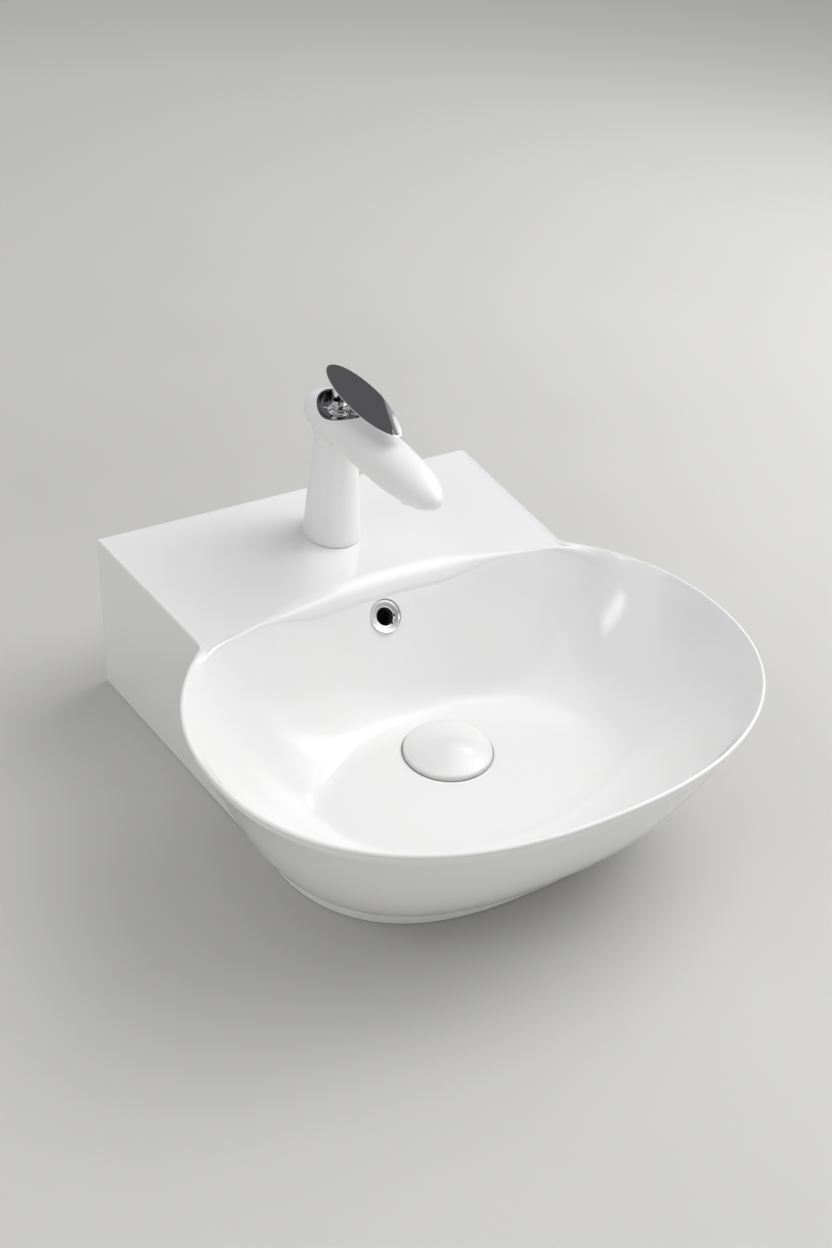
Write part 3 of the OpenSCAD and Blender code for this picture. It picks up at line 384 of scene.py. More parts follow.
# Plan of the basin, as in the part's source: the deck's sides meet the rim's curve in a short bend
Q_A = (LEAN / RIM_A) ** 2 + 1 / RIM_BACK ** 2
Q_B = -2 * (HALF_W * LEAN / RIM_A ** 2 + RIM_MID / RIM_BACK ** 2)
Q_C = (HALF_W / RIM_A) ** 2 + (RIM_MID / RIM_BACK) ** 2 - 1
CORNER_D = (-Q_B - math.sqrt(Q_B * Q_B - 4 * Q_A * Q_C)) / (2 * Q_A)
CORNER = np.array([HALF_W - LEAN * CORNER_D, CORNER_D])
CORNER_T = math.asin((RIM_MID - CORNER_D) / RIM_BACK)
BEND = 9.0
BEND_T = CORNER_T - BEND / math.hypot(RIM_A * math.sin(CORNER_T), RIM_BACK * math.cos(CORNER_T))
SIDE_END = np.array([HALF_W - LEAN * (CORNER_D - BEND), CORNER_D - BEND])
BEND_END = np.array([RIM_A * math.cos(BEND_T), RIM_MID - RIM_BACK * math.sin(BEND_T)])
REAR_R = 3.0


def side_x(d):
    return HALF_W - LEAN * d


def foot_x(d):
    return FOOT_A + (HALF_W - FOOT_A) * np.maximum(0, 1 - d / FLARE_D) ** FLARE_P


def outline():
    """Half the plan, from the wall's middle to the front: x and d of the top and of the foot, how far the
    place belongs to the rim, and 1 along the wall."""
    rows = []
    for x in np.concatenate([np.linspace(0, HALF_W - 12, 52), HALF_W - np.arange(10.5, 2, -1.5)]):
        rows.append((x, 0, x, 0, 0.0, 1))
    for a in np.radians(np.linspace(11.25, 90, 8)):
        x, d = HALF_W - REAR_R * (1 - math.sin(a)), REAR_R * (1 - math.cos(a))
        rows.append((x, d, x, d, 0.0, 0))
    for d in np.linspace(REAR_R, SIDE_END[1], 47)[1:-1]:
        rows.append((side_x(d), d, foot_x(d), d, 0.0, 0))
    for u in np.linspace(0, 1, 15):
        x, d = SIDE_END * (1 - u) ** 2 + CORNER * 2 * u * (1 - u) + BEND_END * u * u
        rows.append((x, d, foot_x(d), d, float(smooth(u)), 0))
    for t in np.linspace(BEND_T, 0, 40)[1:]:
        x, d = RIM_A * math.cos(t), RIM_MID - RIM_BACK * math.sin(t)
        fd = mix(BEND_END[1], FLARE_D, (d - BEND_END[1]) / (RIM_MID - BEND_END[1]))
        rows.append((x, d, foot_x(fd), fd, 1.0, 0))
    for t in np.linspace(0, math.pi / 2, 92)[1:]:
        s, c = math.sin(t) ** (2 / RIM_FULL), max(0.0, math.cos(t)) ** (2 / RIM_FULL)
        fs, fc = math.sin(t) ** (2 / FOOT_FULL), max(0.0, math.cos(t)) ** (2 / FOOT_FULL)
        if t > math.pi / 2 - 1e-9:
            c = fc = 0.0
        d, fd = RIM_MID + (BASIN_D - RIM_MID) * s, mix(FLARE_D, FOOT_D, fs)
        rows.append((RIM_A * c, d, FOOT_A * fc, fd, 1.0, 0))
    return np.array(rows, float)


PLAN = outline()
PLAN_N = len(PLAN)
TOP_X, TOP_D, LOW_X, LOW_D, W_RIM, AT_WALL = PLAN.T
BACK = AT_WALL > 0.5

# Rays from the middle of the rim's widest place through the plan: length, direction, angle from the wall
RAY = np.stack([TOP_X, TOP_D - RIM_MID], 1)
RAY_L = np.linalg.norm(RAY, axis=1)
RX, RD = RAY[:, 0] / RAY_L, RAY[:, 1] / RAY_L
RA = np.degrees(np.arctan2(RAY[:, 0], -RAY[:, 1]))
TURN_FULL, TURN_GONE = 20, 46
TURN = TURN_MIN + (TURN_R - TURN_MIN) * smooth((TURN_GONE - RA) / (TURN_GONE - TURN_FULL))


def over(a, b):
    """Goes from 0 to 1 along the plan, from the ray at angle a to the ray at angle b."""
    return smooth((RA - a) / (b - a))


# Edge of the bowl along the rays: a flat arc at the rear, blended into the inside of the rim
FAR_OFF = 1000.0
ARC_BEND = 0.00113
ARC_H = RIM_MID - BOWL_BACK
ARC_C, ARC_S = np.cos(np.radians(RA)), np.sin(np.radians(RA))
ARC_ROOT = np.sqrt(ARC_C * ARC_C + 4 * ARC_BEND * ARC_S * ARC_S * ARC_H)
ARC = np.where(RA > 100, FAR_OFF, 2 * ARC_H / np.maximum(1e-6, ARC_C + ARC_ROOT))
OVAL = 1 / np.sqrt((RX / RIM_A) ** 2 + (RD / RIM_BACK) ** 2)
REAR_EDGE = ARC - (TURN - TURN_MIN) * TURN_SHIFT
RIM_EDGE = np.where(RA > 89, RAY_L, mix(OVAL, RAY_L, W_RIM)) - RIM_T
EDGE_BLEND = 12
NEAR = np.maximum(0, 1 - np.abs(REAR_EDGE - RIM_EDGE) / EDGE_BLEND)
EDGE = np.minimum(REAR_EDGE, RIM_EDGE) - NEAR * NEAR * EDGE_BLEND / 4
FLOOR = 1 / np.sqrt((RX / FLOOR_A) ** 2 + (RD / FLOOR_B) ** 2)
WALL_REAR = 1.15
WALL_P = WALL_REAR + 0.3 * over(50, 110)

# How far the top reaches along the rays, and how the lip's width runs over them
SPAN = RAY_L - EDGE
CUT_S = mix(np.maximum(0.3, RX + LEAN * RD), 1.0, W_RIM)
OFF_S = np.where(W_RIM > 0, 0, side_x(TOP_D) - TOP_X)
RIDGE = over(44, 54)
RIDGE_W, RIDGE_SLOPE = 5.5, 3
SIDE_LIP = 0.4
SIDE_LIP_W = 4.6
RIM_W = over(52, 70) * W_RIM

# The outline that carries the lip: the sides, drawn on behind the wall, and the rim
REAR_CORNER_N = 8
LIP_START = -30.0
LIPPED = PLAN[~BACK][REAR_CORNER_N:]
LIP = np.array([(side_x(LIP_START), LIP_START)] + [tuple(p[:2]) for p in LIPPED])
LIP_A, LIP_B = LIP[:-1], LIP[1:]
LIP_W = np.array([0.0] + list(LIPPED[:, 4]))
LIP_W = (LIP_W[:-1] + LIP_W[1:]) / 2


def lip_distance(x, d):
    """Plan distance from points to the lipped outline, and how far the nearest place belongs to the rim."""
    p = np.stack([np.abs(x), d], 1)
    best, kind = np.full(len(p), 1e9), np.zeros(len(p))
    for a, b, w in zip(LIP_A, LIP_B, LIP_W):
        v = b - a
        t = np.clip(((p - a) @ v) / (v @ v), 0, 1)
        q = p - a - t[:, None] * v
        q = (q * q).sum(1)
        kind = np.where(q < best, w, kind)
        best = np.minimum(best, q)
    return np.sqrt(best), kind


def top_z(r):
    """Height of the top at radii along the rays: deck, lip at its sides, ridge along the bowl, rim."""
    out, rim = lip_distance(r * RX, RIM_MID + r * RD)
    width, slope = mix(SIDE_LIP_W, RIM_T + 2.5, rim), mix(3.2, 4.0, rim)
    lip = mix(SIDE_LIP, 1.0, rim) * smooth((width - out) / slope)
    ridge = RIDGE * smooth((RIDGE_W - (r - EDGE)) / RIDGE_SLOPE)
    return -LIP_H * (1 - np.maximum(lip, ridge))


def ring(r, middle_d, z):
    """Points at radius r along the rays about a place middle_d from the wall, at height z."""
    r = np.broadcast_to(r, (PLAN_N,))
    middle_d = np.broadcast_to(middle_d, (PLAN_N,))
    z = np.broadcast_to(z, (PLAN_N,))
    return np.stack([r * RX, -(middle_d + r * RD), RIM_Z + z], 1)


def lip_in(s):
    """How far along the rays a place is that lies s inside the outline."""
    base = np.where(BACK, s, np.where(W_RIM > 0, s * W_RIM, 0))
    return np.maximum(base, (s - OFF_S) / CUT_S)


# Roundings along the rays, and the step by which the skin starts inside the rim
TURN_W = np.minimum(TURN, SPAN * 0.4)
BRIM = np.where(BACK, 1.0, 1.6)
BRIM_W = np.minimum(BRIM / np.where(BACK, 1.0, CUT_S), SPAN * 0.39)
BROW = 1.2 * over(54, 66) * W_RIM

# The skin's way in from the rim to the foot bulges more in front than at the sides
TO_FRONT = over(80, 140)
SWELL = -0.35 + 0.667 * TO_FRONT
SWELL_LOW = 0.928 - 0.44 * TO_FRONT
SKIN_TOP, SKIN_LOW = -6.5, -BASIN_H + BAND_H
GROOVE = 1.5 * over(80, 98)

# The waste's seat lies lower than the floor round it
SEAT_UP = 1.8
SEAT_R = 38.6
SEAT_FLAT = 32.0
HOLE_R = WASTE_HOLE / 2
BOSS_R = HOLE_R + 20
FLOOR_ROWS = 19
EASE_PASSES = 14

# Where no deck joins it, the bowl's wall turns out to the rim from this height on
OPEN_FROM = -17
CREST_IN = 2.3


def skin(z, inset):
    """Points of the outer skin at height z: it comes in from the top's outline to the foot's."""
    s = np.clip((z - SKIN_TOP) / (SKIN_LOW - SKIN_TOP), 0, 1)
    h = (1 - s) * (1 + SWELL * s + SWELL_LOW * s * s)
    x = mix(LOW_X, TOP_X, h)
    d = mix(LOW_D, TOP_D, h)
    m = np.stack([x, d - RIM_MID], 1)
    q = m * (1 - inset / np.linalg.norm(m, axis=1))[:, None]
    return np.stack([q[:, 0], -(q[:, 1] + RIM_MID), RIM_Z + np.broadcast_to(z, (PLAN_N,))], 1)


def box_in():
    """How far inside the outline, along the rays, the back and side walls end."""
    to_side = RX + LEAN * RD
    rear = np.where(-RD > 0.01, (RIM_MID - SKIN_T) / np.maximum(-RD, 0.01), FAR_OFF)
    side = np.where(to_side > 0.01, (HALF_W - SKIN_T - LEAN * RIM_MID) / np.maximum(to_side, 0.01), FAR_OFF)
    return RAY_L - np.minimum(rear, side)


def soft_bowl():
    """Floor and walls of the bowl at even steps, with the foot of the walls rounded off."""
    t = np.radians(np.linspace(90, 0, 500))
    cos_t, sin_t = np.clip(np.cos(t), 0, 1), np.sin(t)
    cos_t[0] = 0.0
    power = (2 / WALL_P)[:, None]
    r = FLOOR[:, None] + (EDGE - FLOOR)[:, None] * cos_t[None, :] ** power
    z = -TURN[:, None] + (FLOOR_Z + TURN)[:, None] * sin_t[None, :] ** power
    way = np.cumsum(np.hypot(np.diff(r, axis=1), np.diff(z, axis=1)), axis=1)
    way = np.concatenate([np.zeros((PLAN_N, 1)), way], 1)
    steps = np.concatenate([np.linspace(0, 0.9, 42), np.linspace(0.9, 1, 8)[1:]])
    wall_r = np.stack([np.interp(steps * way[k, -1], way[k], r[k]) for k in range(PLAN_N)])
    wall_z = np.stack([np.interp(steps * way[k, -1], way[k], z[k]) for k in range(PLAN_N)])
    rows = []
    for u in np.linspace(0, 1, FLOOR_ROWS)[:-1]:
        z = mix(-BOWL_H + SEAT_UP, FLOOR_Z, u * (0.6 + 0.4 * u))
        rows.append(ring(mix(SEAT_R, FLOOR, u), mix(WASTE_D, RIM_MID, u), z))
    rows += [ring(wall_r[:, j], RIM_MID, wall_z[:, j]) for j in range(len(steps))]
    p = np.stack(rows)
    j = np.arange(len(rows))
    near = smooth(1.35 - np.abs(j - FLOOR_ROWS) / 13.0)[:, None, None]
    for _ in range(EASE_PASSES):
        q = p.copy()
        q[1:-1] += near[1:-1] * 0.5 * ((p[:-2] + p[2:]) / 2 - p[1:-1])
        p = q
    return list(p)


def open_rim(rows, top):
    """Lets the bowl's wall turn outwards to a thin rim in one curve, where no deck joins it."""
    p = np.stack(rows)
    r = np.hypot(p[:, :, 0], p[:, :, 1] + RIM_MID)
    z = p[:, :, 2] - RIM_Z
    crest = RAY_L - CREST_IN
    for k in range(PLAN_N):
        if RIM_W[k] <= 0:
            continue
        first = top - 1
        while z[first, k] > OPEN_FROM:
            first -= 1
        slope = (r[first, k] - r[first - 2, k]) / (z[first, k] - z[first - 2, k])
        mid = min(r[first, k] - slope * z[first, k], crest[k] - 0.6)
        n = len(rows) - first
        for i in range(1, n):
            u = i / (n - 1)
            curve_r = r[first, k] * (1 - u) ** 2 + 2 * mid * u * (1 - u) + crest[k] * u * u
            curve_z = z[first, k] * (1 - u) ** 2
            new_r = mix(r[first + i, k], curve_r, RIM_W[k])
            new_z = mix(z[first + i, k], curve_z, RIM_W[k])
            p[first + i, k] = (new_r * RX[k], -(RIM_MID + new_r * RD[k]), RIM_Z + new_z)
    return list(p)


def seat_rings():
    """From the waste's hole over the flat seat to the step round the cap."""
    out = [ring(HOLE_R, WASTE_D, -BOWL_H - 1.0), ring(HOLE_R + 0.3, WASTE_D, -BOWL_H - 0.3),
           ring(HOLE_R + 1.0, WASTE_D, -BOWL_H), ring(SEAT_FLAT, WASTE_D, -BOWL_H)]
    for r, up in ((36.3, 0.0), (36.7, 0.3), (36.9, 0.9), (37.2, SEAT_UP - 0.3), (37.8, SEAT_UP - 0.05)):
        out.append(ring(r, WASTE_D, -BOWL_H + up))
    return out


def turn_rings():
    """The rounded edge of the bowl."""
    out = []
    for t in np.radians(np.linspace(0, 90, 15)[1:]):
        r = EDGE + TURN_W * (1 - math.cos(t))
        out.append(ring(r, RIM_MID, top_z(r) - TURN * (1 - math.sin(t))))
    return out


def deck_rings():
    """From that edge over the deck, and then at fixed distances from the outline over the lip."""
    out = []
    lip_start = RAY_L - np.minimum(lip_in(13.0), SPAN * 0.42)
    for v in (0.02, 0.05, 0.09, 0.14, 0.2, 0.3, 0.42, 0.56, 0.7, 0.82, 0.92, 1.0):
        r = mix(EDGE + TURN_W, lip_start, v)
        out.append(ring(r, RIM_MID, top_z(r)))
    for o, share in ((11.5, 0.416), (10.5, 0.413), (9.5, 0.41), (8.5, 0.407), (7.5, 0.404), (6.5, 0.401),
                     (5.5, 0.398), (4.3, 0.395)):
        s = np.maximum(np.minimum(lip_in(o), SPAN * share), BRIM_W * (1 + 0.02 * o / 4.3))
        out.append(ring(RAY_L - s, RIM_MID, top_z(RAY_L - s)))
    return out


def brim_rings():
    """The rounded outer edge."""
    out = []
    for t in np.radians(np.linspace(90, 0, 9)):
        r = RAY_L - BRIM_W * (1 - math.cos(t))
        out.append(ring(r, RIM_MID, top_z(r) - BRIM * (1 - math.sin(t))))
    return out


def skin_rings():
    """Under the edge by a small step, down the skin, over the foot's groove and band, and round the foot."""
    low = top_z(RAY_L) - BRIM
    out = []
    for drop, k in ((0.3, 0), (0.7, 0.06), (1.1, 0.25), (1.5, 0.6), (1.9, 0.88), (2.4, 1.0)):
        out.append(skin(low - drop, BROW * k))
    for u in (0.5, 1.0):
        out.append(skin(mix(low - 2.4, SKIN_TOP, u), BROW))
    for s in np.linspace(0, 0.94, 37)[1:]:
        s = 1 - (1 - s) ** 1.25
        out.append(skin(mix(SKIN_TOP, SKIN_LOW, s), BROW * (1 - s)))
    for dz, k in ((3.0, 0.12), (2.0, 0.4), (1.2, 0.75), (0.7, 0.95), (0.3, 1.0), (-0.1, 0.97), (-0.4, 0.8),
                  (-0.7, 0.5), (-1.0, 0.25), (-1.4, 0.08), (-1.9, 0.0)):
        out.append(skin(SKIN_LOW + dz, GROOVE * k))
    for up, k in ((4.5, 0), (3.0, 0), (1.4, 0), (0.7, 0.12), (0.3, 0.35), (0.08, 0.65), (0, 1.0)):
        out.append(skin(-BASIN_H + up, k))
    return out


def inner_rings():
    """Up the inside of the walls, under the deck, and down the outside of the bowl."""
    wall = mix(box_in(), SKIN_T + 2.0, W_RIM)
    foot_edge = mix(0.5, 3.0, W_RIM)
    ceiling = -(LIP_H + DECK_T) - (0.82 * -FLOOR_Z - LIP_H - DECK_T) * over(40, 75)
    out = [skin(-BASIN_H, wall + foot_edge - 0.8)]
    for v in (0.02, 0.06, 0.12, 0.25, 0.4, 0.55, 0.7, 0.85, 0.95, 1.0):
        out.append(skin(mix(-BASIN_H, ceiling, v), wall + foot_edge * max(0, 1 - v / 0.12)))
    start = np.full(PLAN_N, 0.7)
    for _ in range(6):
        share = (-TURN - ceiling - BOWL_T * start) / (-TURN - FLOOR_Z)
        start = np.power(np.maximum(0, share), WALL_P / 2)
    t0 = np.degrees(np.arcsin(np.minimum(0.99, start)))

    def under_r(t):
        c = np.maximum(0, np.cos(np.radians(t)))
        return mix(FLOOR, EDGE + 1.1 * BOWL_T, np.where(t >= 90, 0, np.power(c, 2 / WALL_P)))

    bowl_r = under_r(t0)
    wall_top = skin(ceiling, wall) - np.array([0, -RIM_MID, 0])
    wall_r = np.hypot(wall_top[:, 0], wall_top[:, 1])
    out.append(ring(bowl_r + np.minimum(TURN, 0.5 * (wall_r - bowl_r)), RIM_MID, ceiling))
    for v in np.linspace(0, 1, 22):
        t = mix(t0, 90, v) if v < 1 else np.full(PLAN_N, 90.0)
        sn = np.sin(np.radians(t))
        out.append(ring(under_r(t), RIM_MID, mix(-TURN, FLOOR_Z, np.power(sn, 2 / WALL_P)) - BOWL_T * sn))
    return out


def boss_rings():
    """Under the floor to the waste's boss, and up again into its hole."""
    out = []
    for u in (0.8, 0.6, 0.45, 0.3):
        z = mix(-BOWL_H, FLOOR_Z, (u - 0.3) / 0.7) - BOWL_T
        out.append(ring(mix(SEAT_R, FLOOR, u), mix(WASTE_D, RIM_MID, u), z))
    for r, z in ((BOSS_R + 3, -BOWL_T), (BOSS_R + 1, -BOWL_T - 0.8), (BOSS_R, -BOWL_T - 3),
                 (BOSS_R, -BOSS_H + 1.5), (BOSS_R - 0.5, -BOSS_H + 0.4), (BOSS_R - 1.5, -BOSS_H),
                 (HOLE_R + 1, -BOSS_H), (HOLE_R, -BOSS_H + 1)):
        out.append(ring(r, WASTE_D, -BOWL_H + z))
    return out


def basin_rings():
    """The whole casting as one closed run of rings over half the plan."""
    bowl = seat_rings() + soft_bowl()
    top = open_rim(bowl + turn_rings() + deck_rings(), len(bowl))
    return top + brim_rings() + skin_rings() + inner_rings() + boss_rings()


def mirrored(half):
    return np.concatenate([half, half[-2:0:-1] * np.array([-1, 1, 1])])


rings = [mirrored(r) for r in basin_rings()]
basin_faces = tube_faces(len(rings), len(rings[0]), closed=True)
basin = make_mesh("basin_glazed", np.concatenate(rings), basin_faces, GLAZE)

# Overflow: a passage behind the bowl's rear wall, inside a case that is cast on
OVER_SIN, OVER_COS = math.sin(math.radians(OVER_SLOPE)), math.cos(math.radians(OVER_SLOPE))
OVER_N = np.array([0, -OVER_SIN, OVER_COS])
OVER_S = np.array([0, -OVER_COS, -OVER_SIN])
OVER_OUT = (1 - ((OVER_Z - TURN_R) / (-FLOOR_Z - TURN_R)) ** WALL_REAR) ** (1 / WALL_REAR)
OVER_D = RIM_MID - mix(FLOOR_B, RIM_MID - BOWL_BACK - (TURN_R - TURN_MIN) * TURN_SHIFT, OVER_OUT)
OVER_P = np.array([0, -OVER_D, RIM_Z - OVER_Z])
DUCT_IN, DUCT_D, CASE_T, CASE_HALF = 17.0, 12.0, 5.4, 15.5
DUCT_A = OVER_P - OVER_N * DUCT_IN
DUCT_LOW = RIM_Z - BOWL_H - DUCT_IN
DUCT_B = DUCT_A + OVER_S * ((DUCT_A[2] - DUCT_LOW) / -OVER_S[2])
CASE_IN_A = OVER_P - OVER_S * CASE_HALF - OVER_N * 6
CASE_IN_B = np.array([0, -(RIM_MID - FLOOR_B) + 4, RIM_Z + FLOOR_Z - 3])
CASE_OUT_A = CASE_IN_A - OVER_N * (DUCT_IN + DUCT_D / 2 + CASE_T - 6)
CASE_OUT_B = CASE_OUT_A + OVER_S * ((CASE_OUT_A[2] - DUCT_LOW + DUCT_D / 2 + CASE_T) / -OVER_S[2])
CASE_FRONT = -WASTE_D + 27
BOLT_X, BOLT_R = 140, 9.0
RING_SINK, RING_SEAT_R = 0.8, 14.4


def case_rings():
    """Side view of the case, drawn across its width with rounded edges."""
    side = [(CASE_IN_A[1], CASE_IN_A[2]), (CASE_IN_B[1], CASE_IN_B[2]), (CASE_FRONT, RIM_Z - BOWL_H - 4),
            (CASE_FRONT, DUCT_LOW - DUCT_D / 2 - CASE_T), (CASE_OUT_B[1], CASE_OUT_B[2]),
            (CASE_OUT_A[1], CASE_OUT_A[2])]
    side = np.array(rounded(side, [0, 0, 0, 0, 6, 6], 5))
    out = side - np.mean(side, 0)
    out = out / np.linalg.norm(out, axis=1)[:, None]
    rows = []
    for x, inset in ((-CASE_HALF, 1.6), (-CASE_HALF + 0.5, 0.5), (-CASE_HALF + 1.6, 0), (CASE_HALF - 1.6, 0),
                     (CASE_HALF - 0.5, 0.5), (CASE_HALF, 1.6)):
        rows.append([(x, a, b) for a, b in side - out * inset])
    return rows


boolean(basin, make_mesh("case_tool", *skinned(case_rings())), "UNION")
boolean(basin, cylinder_cutter((0, -TAP_D, 40), (0, -TAP_D, 90), TAP_HOLE / 2))
boolean(basin, cylinder_cutter(OVER_P - OVER_N * DUCT_IN, OVER_P + OVER_N * 8, OVER_HOLE / 2))
boolean(basin, cylinder_cutter(OVER_P - OVER_N * RING_SINK, OVER_P + OVER_N * 8, RING_SEAT_R))
boolean(basin, cylinder_cutter(DUCT_A, DUCT_B + OVER_S * 3, DUCT_D / 2, 40))
boolean(basin, cylinder_cutter(DUCT_B + np.array([0, 2.5, 0]), (0, -WASTE_D, DUCT_LOW), DUCT_D / 2 - 0.2, 40))
for bolt_x in (-BOLT_X, BOLT_X):
    boolean(basin, cylinder_cutter((bolt_x, 1, 0), (bolt_x, -SKIN_T - 5, 0), BOLT_R))
dress(basin, GLAZE, 38)
# The overflow's hole and passage in the glaze get the near-black painted shade.
inner_faces(basin, OVER_P - OVER_N * 30, OVER_P - OVER_N * 2.0, OVER_HOLE / 2 + 0.4, BORE_PAINTED_SHADE)
inner_faces(basin, DUCT_A - OVER_S * 8, DUCT_B + OVER_S * 3, DUCT_D / 2 + 0.3, BORE_PAINTED_SHADE)
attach(basin, "fixed")
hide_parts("basin")

# Waste cap
CAP_LOW = RIM_Z - BOWL_H + 1.8
CAP_R, CAP_DOME, CAP_HEM = 35.7, 7.1, 0.9
CAP_FOOT = CAP_LOW - CAP_HEM
CAP_EDGE = CAP_LOW + 3.5
DOME_R = (CAP_R ** 2 + CAP_DOME ** 2) / (2 * CAP_DOME)
CORE_R = 14.1
CORE_LOW, CORE_TOP = RIM_Z - BOWL_H + 4.6, CAP_LOW + 4.6
HEM_R, HEM_IN_R = 34.2, 33.8


def cap_profile():
    """Half section: hollow for the core, inside, hem, rounded edge and dome."""
    out = [(0.0, CORE_TOP), (CORE_R, CORE_TOP), (CORE_R, CORE_LOW), (HEM_IN_R, CORE_LOW),
           (HEM_IN_R, CAP_FOOT + 0.5), (HEM_R, CAP_FOOT)]
    edge = [(HEM_R, CAP_FOOT), (CAP_R, CAP_FOOT), (CAP_R, CAP_EDGE - 0.4), (CAP_R - 8, CAP_EDGE + 2.3)]
    out += rounded(edge, [0, 0.5, 2.1, 0], 8)[1:-1]
    for x in np.linspace(CAP_R - 2.2, 0, 40):
        dome = math.sqrt(DOME_R ** 2 - x * x) - (DOME_R - CAP_DOME)
        out.append((x if x > 0.01 else 0.0, CAP_EDGE - 0.4 + dome))
    return out


cap_o = make_mesh("waste_cap_glazed", *lathe(cap_profile(), (0, -WASTE_D, 0)), CAP_GLAZE_PAINTED_SHADE, 40)
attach(cap_o, "cap")
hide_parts("waste_cap")

# Overflow ring, with two notches in its bore
RING_TURN = np.array([[1, 0, 0], [0, OVER_COS, -OVER_SIN], [0, OVER_SIN, OVER_COS]])
RING_BORE, RING_TUBE = 7.5, 10.4
NOTCH_ANGLES, NOTCH_R, NOTCH_AT = (-8, -58), 1.15, 7.7
ring_outline = [(RING_BORE, -11), (RING_TUBE, -11), (RING_TUBE, 0), (13.8, 0), (14.0, 0.9), (13.4, 1.8),
                (12.5, 1.6), (11.8, 0.9), (8.1, 0.8), (RING_BORE, 0.2)]
ring_profile = rounded(ring_outline, [0.3, 0.3, 0, 0.15, 0.4, 0.3, 0.4, 0.5, 0.4, 0.2], 4)
ring_mesh = lathe(ring_profile, OVER_P - OVER_N * RING_SINK, RING_TURN)
ring_o = make_mesh("overflow_ring_polished", *ring_mesh, RING_CHROME)
for angle in NOTCH_ANGLES:
    spoke = RING_TURN @ np.array([math.cos(math.radians(angle)), math.sin(math.radians(angle)), 0])
    notch = OVER_P + spoke * NOTCH_AT
    boolean(ring_o, cylinder_cutter(notch - OVER_N * 4, notch + OVER_N * 3, NOTCH_R, 24))
dress(ring_o, RING_CHROME)
# The ring's bore gets the same near-black painted shade.
inner_faces(ring_o, OVER_P - OVER_N * 12, OVER_P - OVER_N * 0.4, 8.4, BORE_PAINTED_SHADE)
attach(ring_o, "fixed")
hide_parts("overflow_ring")

# Tap: column, barrel and the recess for the cartridge
BASE_A, BASE_B = 23.3, 27.6
SPOUT_Z, SPOUT_A, SPOUT_B, SPOUT_BACK, SPOUT_TIP = 107.5, 21.0, 18.0, 41.5, 229.5
BARREL_REAR, BARREL_FRONT = 30.0, 112.0
COL_LOW = -LIP_H + 0.25
COL_TOP = SPOUT_Z - 4
COL_EDGE = 0.6
# Height, half width, half depth and offset to the front
COLS = np.array([[COL_LOW, BASE_A, BASE_B, 1.7], [COL_LOW + 6, BASE_A, BASE_B, 1.7], [20, 22.1, 25.9, 2.0],
                 [40, 20.5, 23.8, 2.6], [60, 19.1, 22.0, 3.2], [80, 18.1, 20.6, 3.8],
                 [COL_TOP, 17.7, 20.0, 4.4]])
REC_A, REC_B, REC_FORE, REC_LOW = 18.6, 28.0, 6.0, -9.0
CUP_WALL = 1.5
NUT_R, CARTRIDGE_R, ROTOR_R = 14.5, 13.6, 14.6
AER_D, AER_Z, AER_R = 194.0, SPOUT_Z - SPOUT_B, 8.0
INLET_X, INLET_D, INLET_R = 7.8, TAP_D + 6.3, 4.6
STUD_D, STUD_R = TAP_D - 9, 4.0
ROUND = np.linspace(0, 2 * math.pi, 96, endpoint=False)


def head(p):
    """Places points given along the leaning axis of the lever."""
    a = math.radians(HEAD_LEAN)
    p = np.asarray(p, float)
    y = p[:, 1] * math.cos(a) - p[:, 2] * math.sin(a)
    z = p[:, 1] * math.sin(a) + p[:, 2] * math.cos(a)
    return np.stack([p[:, 0], y - HEAD_D, z + RIM_Z + HEAD_Z], 1)


def head_cutter(z0, z1, r):
    p = head([(0, 0, z0), (0, 0, z1)])
    return cylinder_cutter(p[0], p[1], r)


def column():
    out = []
    foot_edge = [COL_LOW, COL_LOW + 0.25, COL_LOW + COL_EDGE, COL_LOW + 1.2]
    for z in np.concatenate([foot_edge, np.linspace(COL_LOW + 3, COL_TOP, 40)]):
        a, b, fore = (np.interp(z, COLS[:, 0], COLS[:, i]) for i in (1, 2, 3))
        k = max(0, 1 - (z - COL_LOW) / COL_EDGE)
        a, b = a - COL_EDGE * k * k, b - COL_EDGE * k * k
        out.append([(a * math.cos(t), -(TAP_D + fore) + b * math.sin(t), RIM_Z + z) for t in ROUND])
    return out


def grow(d, full=3.4):
    """Share of the barrel's full section at d, from nothing at its rear end to nothing at its tip."""
    if d < SPOUT_BACK + BARREL_REAR:
        return max(0, 1 - ((SPOUT_BACK + BARREL_REAR - d) / BARREL_REAR) ** 2.3) ** 0.5
    if d > SPOUT_TIP - BARREL_FRONT:
        return max(0, 1 - ((d - SPOUT_TIP + BARREL_FRONT) / BARREL_FRONT) ** full) ** 0.5
    return 1.0


def barrel():
    tip = np.concatenate([np.linspace(3, 78, 40), np.linspace(79, 88.5, 14)])
    ds = [SPOUT_BACK + BARREL_REAR * (1 - math.cos(t)) for t in np.radians(np.linspace(3, 90, 26))]
    ds += [SPOUT_TIP - BARREL_FRONT * (1 - math.sin(t)) for t in np.radians(tip)]
    out = []
    for d in ds:
        g, low = grow(d), grow(d, 4.2)
        row = []
        for t in ROUND:
            up = SPOUT_B * (g if t < math.pi else low) * math.sin(t)
            row.append((SPOUT_A * g * math.cos(t), -d, RIM_Z + SPOUT_Z + up))
        out.append(row)
    return out


def recess(inset, z0, z1):
    """An oval block in the head, smaller than the recess by the inset."""
    a, b = REC_A - inset, REC_B - inset
    return [head([(a * math.cos(t), b * math.sin(t) - REC_FORE, z) for t in ROUND]) for z in (z0, z1)]


def upright_cutter(x, d, z0, z1, r):
    return cylinder_cutter((x, -d, RIM_Z + z0), (x, -d, RIM_Z + z1), r)


